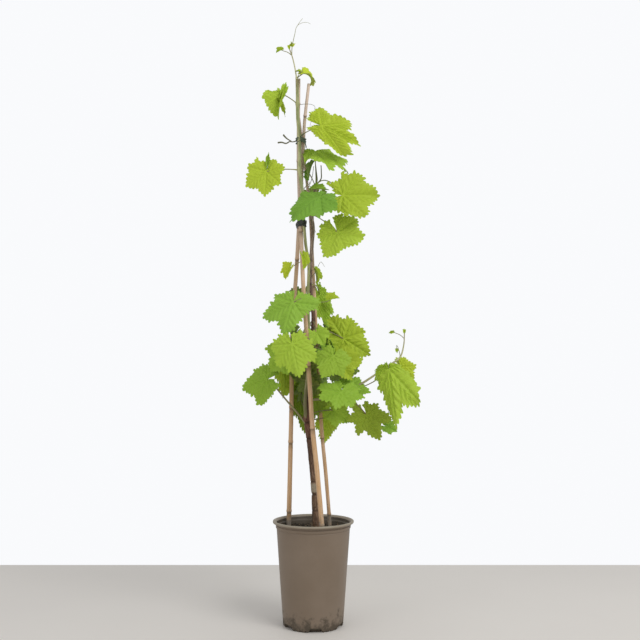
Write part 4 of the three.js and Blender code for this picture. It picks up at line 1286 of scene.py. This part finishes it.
def soil_finish(name, earth, chip):
    """Damp potting compost: near black peat with brown fibres, and each chip or crumb in its own tone."""
    nodes = Finish(name, 120.0, 900.0)
    dark = nodes.shade(earth, value=0.45)
    ground = nodes.mix(nodes.broad, dark, earth)
    ground = nodes.over(ground, dark, nodes.fine, 0.4)
    ground = nodes.mix(nodes.eased(nodes.value_of("tone"), 0.72, 1.0, 0.0, 0.8), ground, chip)
    normal = nodes.raised(nodes.plus(nodes.broad, nodes.times(nodes.fine, 0.6)), 0.8, 0.001)
    rough = nodes.eased(nodes.fine, 0, 1, 0.8, 0.95)
    return nodes.fill({"Base Color": ground, "Roughness": rough, "Normal": normal})


def bamboo_finish(straw, joint):
    """Dry bamboo: pale and brown streaks, dark rings at its joints, paler and greyer higher up, and a soiled
    foot.
    """
    nodes = Finish("bamboo", 28.0, 700.0)
    grain = nodes.grain(420.0, 0.03)
    dirt = nodes.dirt(0.188, 0.25)
    pale = nodes.shade(straw, value=1.2, saturation=0.82)
    brown = nodes.shade(straw, value=0.74, saturation=1.1)
    wood = nodes.mix(grain["Streaks"], pale, straw)
    wood = nodes.over(wood, brown, grain["Fibres"], 0.35)
    wood = nodes.over(wood, brown, nodes.broad, 0.4)
    # Paler and greyer higher up, from about 0.55 m.
    aloft = nodes.eased(nodes.height_of(nodes.place), 0.55, 0.95, 0.0, 0.62)
    wood = nodes.mix(aloft, wood, colour("dccfc4"))
    specks = nodes.spots(nodes.place, 330.0, 4.0, 0.7)
    wood = nodes.mix(nodes.eased(specks, 0.63, 0.7, 0.0, 0.7), wood, joint)
    # The mark darkens the joints, the cut top, and the hole in it as painted shade.
    wood = nodes.over(wood, joint, nodes.value_of("mark"), 0.85)
    wood = nodes.mix(dirt, wood, colour("8f8a80"))
    normal = nodes.raised(nodes.plus(grain["Fibres"], nodes.times(grain["Streaks"], 0.6)), 0.3, 0.0003)
    rough = nodes.eased(grain["Streaks"], 0, 1, 0.48, 0.62)
    return nodes.fill({"Base Color": wood, "Roughness": rough, "Normal": normal})


def bark_finish(old, young):
    """Vine bark: brown strips over dark cracks, whose own darker colour has painted shade added, redder at
    the thick head, and a pale band at the graft.
    """
    nodes = Finish("bark", 60.0, 800.0)
    grain = nodes.grain(380.0, 0.1)
    height = nodes.height_of(nodes.place)
    wood = nodes.mix(nodes.eased(height, 0.24, 0.36), old, young)
    wood = nodes.mix(nodes.eased(height, 0.46, 0.6, 0.0, 0.7), wood, colour("7b5a48"))
    wood = nodes.mix(nodes.eased(height, 0.66, 0.76, 0.0, 0.8), wood, colour("b39c8b"))
    head = nodes.times(nodes.eased(height, 0.362, 0.385), nodes.eased(height, 0.412, 0.44, 1.0, 0.0))
    wood = nodes.over(wood, colour("7a4a30"), head, 0.75)
    light = nodes.shade(wood, value=2.1, saturation=0.72)
    dark = nodes.shade(wood, value=0.38)
    wood = nodes.over(wood, light, grain["Streaks"], 0.75)
    wood = nodes.over(wood, dark, grain["Fibres"], 0.45)
    wood = nodes.over(wood, dark, nodes.broad, 0.3)
    # Marked cracks and scars: the bark's own darker colour, and painted shade in the recesses.
    wood = nodes.over(wood, dark, nodes.value_of("mark"), 0.85)
    graft = nodes.times(nodes.eased(height, 0.261, 0.264), nodes.eased(height, 0.278, 0.283, 1.0, 0.0))
    wood = nodes.over(wood, colour("a69c86"), graft, nodes.eased(nodes.fine, 0, 1, 0.9, 0.55))
    normal = nodes.raised(nodes.plus(grain["Fibres"], nodes.times(nodes.fine, 0.5)), 0.6, 0.0006)
    rough = nodes.eased(grain["Fibres"], 0, 1, 0.7, 0.88)
    return nodes.fill({"Base Color": wood, "Roughness": rough, "Normal": normal})


def green_wood_finish(name, shaded, sunny, joint):
    """Young green wood: olive on one side, painted as shade, and beige on the other, painted as light, with
    fine ribs.

    It turns reddish brown where it is marked, and is painted darker brown low down, below about half a
    metre, as shade inside the foliage.
    """
    nodes = Finish(name, 35.0, 700.0)
    grain = nodes.grain(500.0, 0.06)
    around = nodes.add("SeparateXYZ", {0: nodes.own_map})[0]
    away = nodes.math("ABSOLUTE", nodes.math("SUBTRACT", around, 0.5))
    side = nodes.plus(away, nodes.times(nodes.math("SUBTRACT", nodes.broad, 0.5), 0.2))
    # Painted light and shade: the sunny colour on one side of the stem and the shaded colour on the other.
    skin = nodes.mix(nodes.eased(side, 0.15, 0.35), sunny, shaded)
    # Painted shade: darker brown below about half a metre, where the stems run inside the foliage.
    painted_low_shade = nodes.shade(joint, value=0.6)
    skin = nodes.mix(nodes.eased(nodes.height_of(nodes.place), 0.46, 0.52, 0.7, 0.0), skin, painted_low_shade)
    skin = nodes.over(skin, joint, nodes.value_of("mark"), 0.7)
    dark = nodes.shade(skin, value=0.66)
    skin = nodes.over(skin, dark, grain["Fibres"], 0.35)
    skin = nodes.over(skin, dark, nodes.fine, 0.15)
    rough = nodes.eased(nodes.broad, 0, 1, 0.42, 0.55)
    normal = nodes.raised(grain["Fibres"], 0.35, 0.0003)
    return nodes.fill({"Base Color": skin, "Roughness": rough, "Normal": normal})


def tape_finish(name, tape):
    """Soft plant tape: thin creased plastic with worn paler folds."""
    nodes = Finish(name, 160.0, 900.0)
    worn = nodes.shade(tape, value=1.7, saturation=0.75)
    dark = nodes.shade(tape, value=0.5)
    skin = nodes.mix(nodes.broad, dark, tape)
    skin = nodes.mix(nodes.eased(nodes.fine, 0.6, 1.0, 0.0, 0.5), skin, worn)
    normal = nodes.raised(nodes.plus(nodes.broad, nodes.times(nodes.fine, 0.3)), 0.5, 0.0006)
    rough = nodes.eased(nodes.broad, 0, 1, 0.3, 0.5)
    return nodes.fill({"Base Color": skin, "Roughness": rough, "Normal": normal})


def floor_finish(shade):
    """The plain matt floor, with only the faintest unevenness."""
    nodes = Finish("floor", 1.5, 60.0)
    return nodes.fill({"Base Color": nodes.mix(nodes.broad, shade, nodes.shade(shade, value=0.97)),
                       "Roughness": 0.6})


# ---------- the stage ----------

FLOOR_REACH = 3  # metres to the sides and to the front
FLOOR_BACK = 0.534  # metres behind the plant, where the wall begins
LIGHTS_AIM = (0, 0, 0.6)  # metres, the middle of the plant
CAMERA_PLACE = (0.0138, -1.6377, 0.4738)  # metres
CAMERA_TILT = math.radians(94.92)  # from looking straight down
CAMERA_LENS, CAMERA_SENSOR = 44.4375, 36  # millimetres


def placed_object(name, data, at=(0, 0, 0)):
    """A new object in the scene, for the stage."""
    shown = bpy.data.objects.new(name, data)
    shown.location = at
    bpy.context.scene.collection.objects.link(shown)
    return shown


def make_floor(finish):
    """One flat face that ends where the wall begins."""
    side, near, far = FLOOR_REACH, -FLOOR_REACH, FLOOR_BACK
    corners = [(-side, near, 0), (side, near, 0), (side, far, 0), (-side, far, 0)]
    mesh = bpy.data.meshes.new("floor")
    mesh.from_pydata(corners, [], [(0, 1, 2, 3)])
    mesh.materials.append(finish)
    return placed_object("floor", mesh)


def soft_light(name, power, width, at):
    """A round soft light that faces the middle of the plant."""
    light = bpy.data.lights.new(name, "AREA")
    light.energy = power
    light.shape = "DISK"
    light.size = width
    shown = placed_object(name, light, at)
    aim = Vector(LIGHTS_AIM) - Vector(at)
    shown.rotation_euler = aim.to_track_quat("-Z", "Y").to_euler()
    return shown


def surroundings(wall, sky, backdrop):
    """A plain world: as bright as `sky` where it lights the plant, and as `backdrop` where it is seen."""
    world = bpy.data.worlds.new("surroundings")
    world.use_nodes = True
    nodes = Nodes(world.node_tree)
    seen = nodes.add("LightPath")["Is Camera Ray"]
    strength = nodes.add("MapRange", {0: seen, 1: 0.0, 2: 1.0, 3: sky, 4: backdrop})[0]
    background = world.node_tree.nodes["Background"]
    nodes.feed(background.inputs["Color"], wall)
    nodes.feed(background.inputs["Strength"], strength)
    return world


def make_camera():
    """A camera in front of the plant, level with its lower leaves and turned up a little."""
    camera = placed_object("camera", bpy.data.cameras.new("camera"), CAMERA_PLACE)
    camera.data.lens = CAMERA_LENS
    camera.data.sensor_width = CAMERA_SENSOR
    camera.rotation_euler = (CAMERA_TILT, 0, 0)
    return camera


# ---------- settings ----------


def tint(label, description, text):
    """A colour setting."""
    return FloatVectorProperty(
        name=label, description=description, default=colour(text), subtype="COLOR", size=4, min=0, max=1,
    )


class LeafSettings(bpy.types.PropertyGroup):
    """How the leaves are cut, bent and coloured."""

    cut: FloatProperty(name="Cut", description="How narrow the lobes are", default=1.4)
    tooth: FloatProperty(name="Tooth", description="Height of a tooth, as a share of the leaf", default=0.07)
    relief: FloatProperty(name="Relief", description="How far the panels swell between veins", default=0.028)
    lobe_fold: FloatProperty(name="Lobe fold", description="How far each lobe folds up", default=0.1)
    wave: FloatProperty(name="Wave", description="How far the margin waves", default=0.048)
    thickness: FloatProperty(name="Thickness", description="Of a blade", default=0.0006, unit="LENGTH")
    translucency: FloatProperty(name="Translucency", description="Share of light that passes", default=0.22)
    young: tint("Young", "Yellow-green leaves", "aec026")
    bright: tint("Bright", "Bright green leaves", "9eb930")
    mid: tint("Mid", "Mid green leaves", "8fb12e")
    cool: tint("Cool", "Cool green leaves", "80a934")
    # The dark tint is painted shade, for leaves deep in the foliage.
    dark: tint("Dark", "Olive leaves in the shade", "90a526")
    under: tint("Underside", "What an underside fades towards", "a3ad72")


class WoodSettings(bpy.types.PropertyGroup):
    """The colours of the canes, the bark, the green stems, the stalks and the tendrils."""

    straw: tint("Bamboo", "The canes", "d6ad80")
    joint: tint("Joints", "The rings and stains of the canes", "6b5638")
    old: tint("Old bark", "The foot of the trunk", "76583c")
    young: tint("Young bark", "The trunk and the arm above it", "5f4029")
    # The shaded and sunny colours paint shade and light on the two sides of the stems, stalks and tendrils.
    olive: tint("Shaded side", "Green stems on their shaded side", "929a62")
    beige: tint("Sunny side", "Green stems on their sunny side", "cbc893")
    rust: tint("Rust", "Green stems where they are marked", "8c7c54")
    stalk_shaded: tint("Stalks, shaded", "Leaf stalks on their shaded side", "8a9560")
    stalk_sunny: tint("Stalks, sunny", "Leaf stalks on their sunny side", "a9ab74")
    stalk_joint: tint("Stalk ends", "Leaf stalks towards the blade", "82704c")
    tendril_shaded: tint("Tendrils, shaded", "Tendrils on their shaded side", "9aa255")
    tendril_sunny: tint("Tendrils, sunny", "Tendrils on their sunny side", "a7a878")
    tendril_dry: tint("Dry tendrils", "Dried tendrils and twiglets", "484638")
    sides: IntProperty(name="Sides", description="Points round the trunk", default=72, min=12, max=200)


class PotSettings(bpy.types.PropertyGroup):
    """The colours of the pot, its soil and the ties."""

    shell: tint("Pot", "The moulded plastic", "7f6e5c")
    earth: tint("Soil", "The compost", "463e32")
    chip: tint("Chips", "Bits of bark in the compost", "8a7458")
    tape: tint("Top tie", "The green tape at the top", "586b4e")
    band: tint("Middle tie", "The dark tape half way up", "33372d")


class StageSettings(bpy.types.PropertyGroup):
    """The lights, the surroundings and the floor."""

    key: FloatProperty(name="Key light", description="Soft light from the right", default=32, unit="POWER")
    fill: FloatProperty(name="Fill light", description="Soft light from the left", default=7, unit="POWER")
    sky: FloatProperty(name="Surroundings", description="Strength of the light all round", default=0.58)
    backdrop: FloatProperty(name="Backdrop", description="How bright the wall looks", default=1.03)
    wall: tint("Wall", "The pale surroundings", "f6f7f9")
    floor: tint("Floor", "The pale floor", "eae5de")


# ---------- operators ----------


class VINE_OT_pot(bpy.types.Operator):
    """Build the nursery pot"""

    bl_idname = "vine.pot"
    bl_label = "Pot"

    def execute(self, context):
        look = context.scene.vine_pot
        piece("pot_shell", pot(), pot_finish(look.shell), ["pot"])
        return {"FINISHED"}


class VINE_OT_soil(bpy.types.Operator):
    """Build the compost with its crumbs and chips"""

    bl_idname = "vine.soil"
    bl_label = "Soil"

    def execute(self, context):
        look = context.scene.vine_pot
        finish = soil_finish("compost", look.earth, look.chip)
        piece("compost_surface", soil(), finish, ["compost"])
        piece("compost_crumbs", crumbs(), finish)
        return {"FINISHED"}


class VINE_OT_canes(bpy.types.Operator):
    """Build the three bamboo canes"""

    bl_idname = "vine.canes"
    bl_label = "Canes"

    def execute(self, context):
        look = context.scene.vine_wood
        finish = bamboo_finish(look.straw, look.joint)
        for name in CANES:
            piece(name + "_bamboo", cane(name), finish, [name])
        return {"FINISHED"}


class VINE_OT_bark(bpy.types.Operator):
    """Build the trunk and the old arm with their bark"""

    bl_idname = "vine.bark"
    bl_label = "Trunk and arm"

    def execute(self, context):
        look = context.scene.vine_wood
        finish = bark_finish(look.old, look.young)
        axis = smooth_axis(TRUNK, TRUNK_STEPS)
        radii = rounded_ends(by_height(TRUNK_RADII, axis), axis, round_foot=False)
        trunk = bark(axis, radii, look.sides, coarse=12, seed=3, scars=TRUNK_SCARS)
        piece("trunk_bark", trunk, finish, ["trunk"])
        axis = smooth_axis(ARM, ARM_STEPS)
        radii = rounded_ends(by_height(ARM_RADII, axis), axis)
        arm = bark(axis, radii, ARM_SIDES, coarse=26, seed=8, scars=ARM_SCARS)
        piece("arm_bark", arm, finish, ["arm"])
        return {"FINISHED"}


class VINE_OT_green_stems(bpy.types.Operator):
    """Build the green shoots: the leader, the growing tip and the side shoots"""

    bl_idname = "vine.green_stems"
    bl_label = "Green stems"

    def execute(self, context):
        look = context.scene.vine_wood
        finish = green_wood_finish("green_stem", look.olive, look.beige, look.rust)
        axes = plant_axes()
        for name in SHOOTS:
            piece(name + "_wood", shoot(name, axes), finish, [name])
        return {"FINISHED"}


class VINE_OT_ties(bpy.types.Operator):
    """Build the two ties, which hold the leader to its canes"""

    bl_idname = "vine.ties"
    bl_label = "Ties"

    def execute(self, context):
        look = context.scene.vine_pot
        axes = plant_axes()
        top = [
            tie_wrap(axes, height=990 + 4.5 * k, tall=3.4, level=0.3 * k, tilt=2 - 2 * k, seed=50 + k)
            for k in range(3)
        ]
        top += [ribbon(points, width=2.4, thick=0.8, twist=0.8) for points in TOP_TIE_ENDS]
        piece("tie_top_tape", joined(top), tape_finish("tie_tape", look.tape), ["tie_top"])
        middle = [
            tie_wrap(axes, height=811 + 3 * k, tall=6, level=0.9 * k, tilt=1 - k, seed=60 + k)
            for k in range(3)
        ]
        middle += [ribbon(MIDDLE_TIE_END, width=4, thick=0.8, twist=0.6)]
        finish = tape_finish("dark_tape", look.band)
        piece("tie_middle_tape", joined(middle), finish, ["tie_middle"])
        return {"FINISHED"}


class VINE_OT_leaves(bpy.types.Operator):
    """Build the leaves: those of one tint are one piece"""

    bl_idname = "vine.leaves"
    bl_label = "Leaves"

    def execute(self, context):
        look = context.scene.vine_leaves
        everything = LEAVES + filling_leaves(plant_axes()) + buds()
        for name in ("young", "bright", "mid", "cool", "dark"):
            finish = leaf_finish(name + "_leaf", getattr(look, name), look.under, look.translucency)
            blades = [
                blade(leaf, look, np.random.default_rng(LEAF_SEED + k))
                for k, leaf in enumerate(everything) if leaf["tint"] == name
            ]
            nodes = [leaf["name"] for leaf in LEAVES if leaf["tint"] == name]
            piece(name + "_leaves", joined(blades), finish, nodes)
        return {"FINISHED"}


class VINE_OT_stalks(bpy.types.Operator):
    """Build the leaf stalks"""

    bl_idname = "vine.stalks"
    bl_label = "Leaf stalks"

    def execute(self, context):
        look = context.scene.vine_wood
        finish = green_wood_finish("leaf_stalk", look.stalk_shaded, look.stalk_sunny, look.stalk_joint)
        axes = plant_axes()
        stalks = [leaf_stalk(leaf, axes) for leaf in LEAVES + filling_leaves(axes)]
        piece("leaf_stalks", joined(stalks), finish)
        return {"FINISHED"}


class VINE_OT_tendrils(bpy.types.Operator):
    """Build the tendrils and the dried twiglets"""

    bl_idname = "vine.tendrils"
    bl_label = "Tendrils"

    def execute(self, context):
        look = context.scene.vine_wood
        finish = green_wood_finish("tendril", look.tendril_shaded, look.tendril_sunny, look.tendril_dry)
        piece("tendrils", joined([tendril(*row) for row in TENDRILS]), finish)
        return {"FINISHED"}


class VINE_OT_stage(bpy.types.Operator):
    """Set up the floor, the soft lights and the camera"""

    bl_idname = "vine.stage"
    bl_label = "Stage"

    def execute(self, context):
        look = context.scene.vine_stage
        scene = context.scene
        floor = make_floor(floor_finish(look.floor))
        lights = [
            soft_light("key_light", look.key, width=1.6, at=(1.5, -1.6, 2.3)),
            soft_light("fill_light", look.fill, width=2.2, at=(-2.0, -1.5, 1.2)),
        ]
        scene.world = surroundings(look.wall, look.sky, look.backdrop)
        scene.view_settings.view_transform = "Standard"
        camera = make_camera()
        scene.camera = camera
        return {"FINISHED"}


STEPS = (
    VINE_OT_pot, VINE_OT_soil, VINE_OT_canes, VINE_OT_bark, VINE_OT_green_stems, VINE_OT_ties,
    VINE_OT_leaves, VINE_OT_stalks, VINE_OT_tendrils, VINE_OT_stage,
)
SETTINGS = {"vine_leaves": LeafSettings, "vine_wood": WoodSettings, "vine_pot": PotSettings,
            "vine_stage": StageSettings}


class VINE_PT_panel(bpy.types.Panel):
    """The steps that build the grapevine, and its settings"""

    bl_idname = "VINE_PT_panel"
    bl_label = "Potted Grapevine"
    bl_space_type = "VIEW_3D"
    bl_region_type = "UI"
    bl_category = "Grapevine"

    def draw(self, context):
        for step in STEPS:
            self.layout.operator(step.bl_idname)
        for label in SETTINGS:
            box = self.layout.box()
            for name in SETTINGS[label].__annotations__:
                box.prop(getattr(context.scene, label), name)


CLASSES = (*SETTINGS.values(), *STEPS, VINE_PT_panel)


def register():
    """Make the classes known, and give the scene its settings."""
    for kind in CLASSES:
        bpy.utils.register_class(kind)
    for label, kind in SETTINGS.items():
        setattr(bpy.types.Scene, label, PointerProperty(type=kind))


def unregister():
    """Take the settings and the classes away again."""
    for label in SETTINGS:
        delattr(bpy.types.Scene, label)
    for kind in reversed(CLASSES):
        bpy.utils.unregister_class(kind)


def main():
    """Build everything in order."""
    register()
    for make in (make_mottle, make_grain, make_soiling, make_veins):
        make()
    for step in STEPS:
        group, name = step.bl_idname.split(".")
        getattr(getattr(bpy.ops, group), name)()
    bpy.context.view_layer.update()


if __name__ == "__main__":
    main()
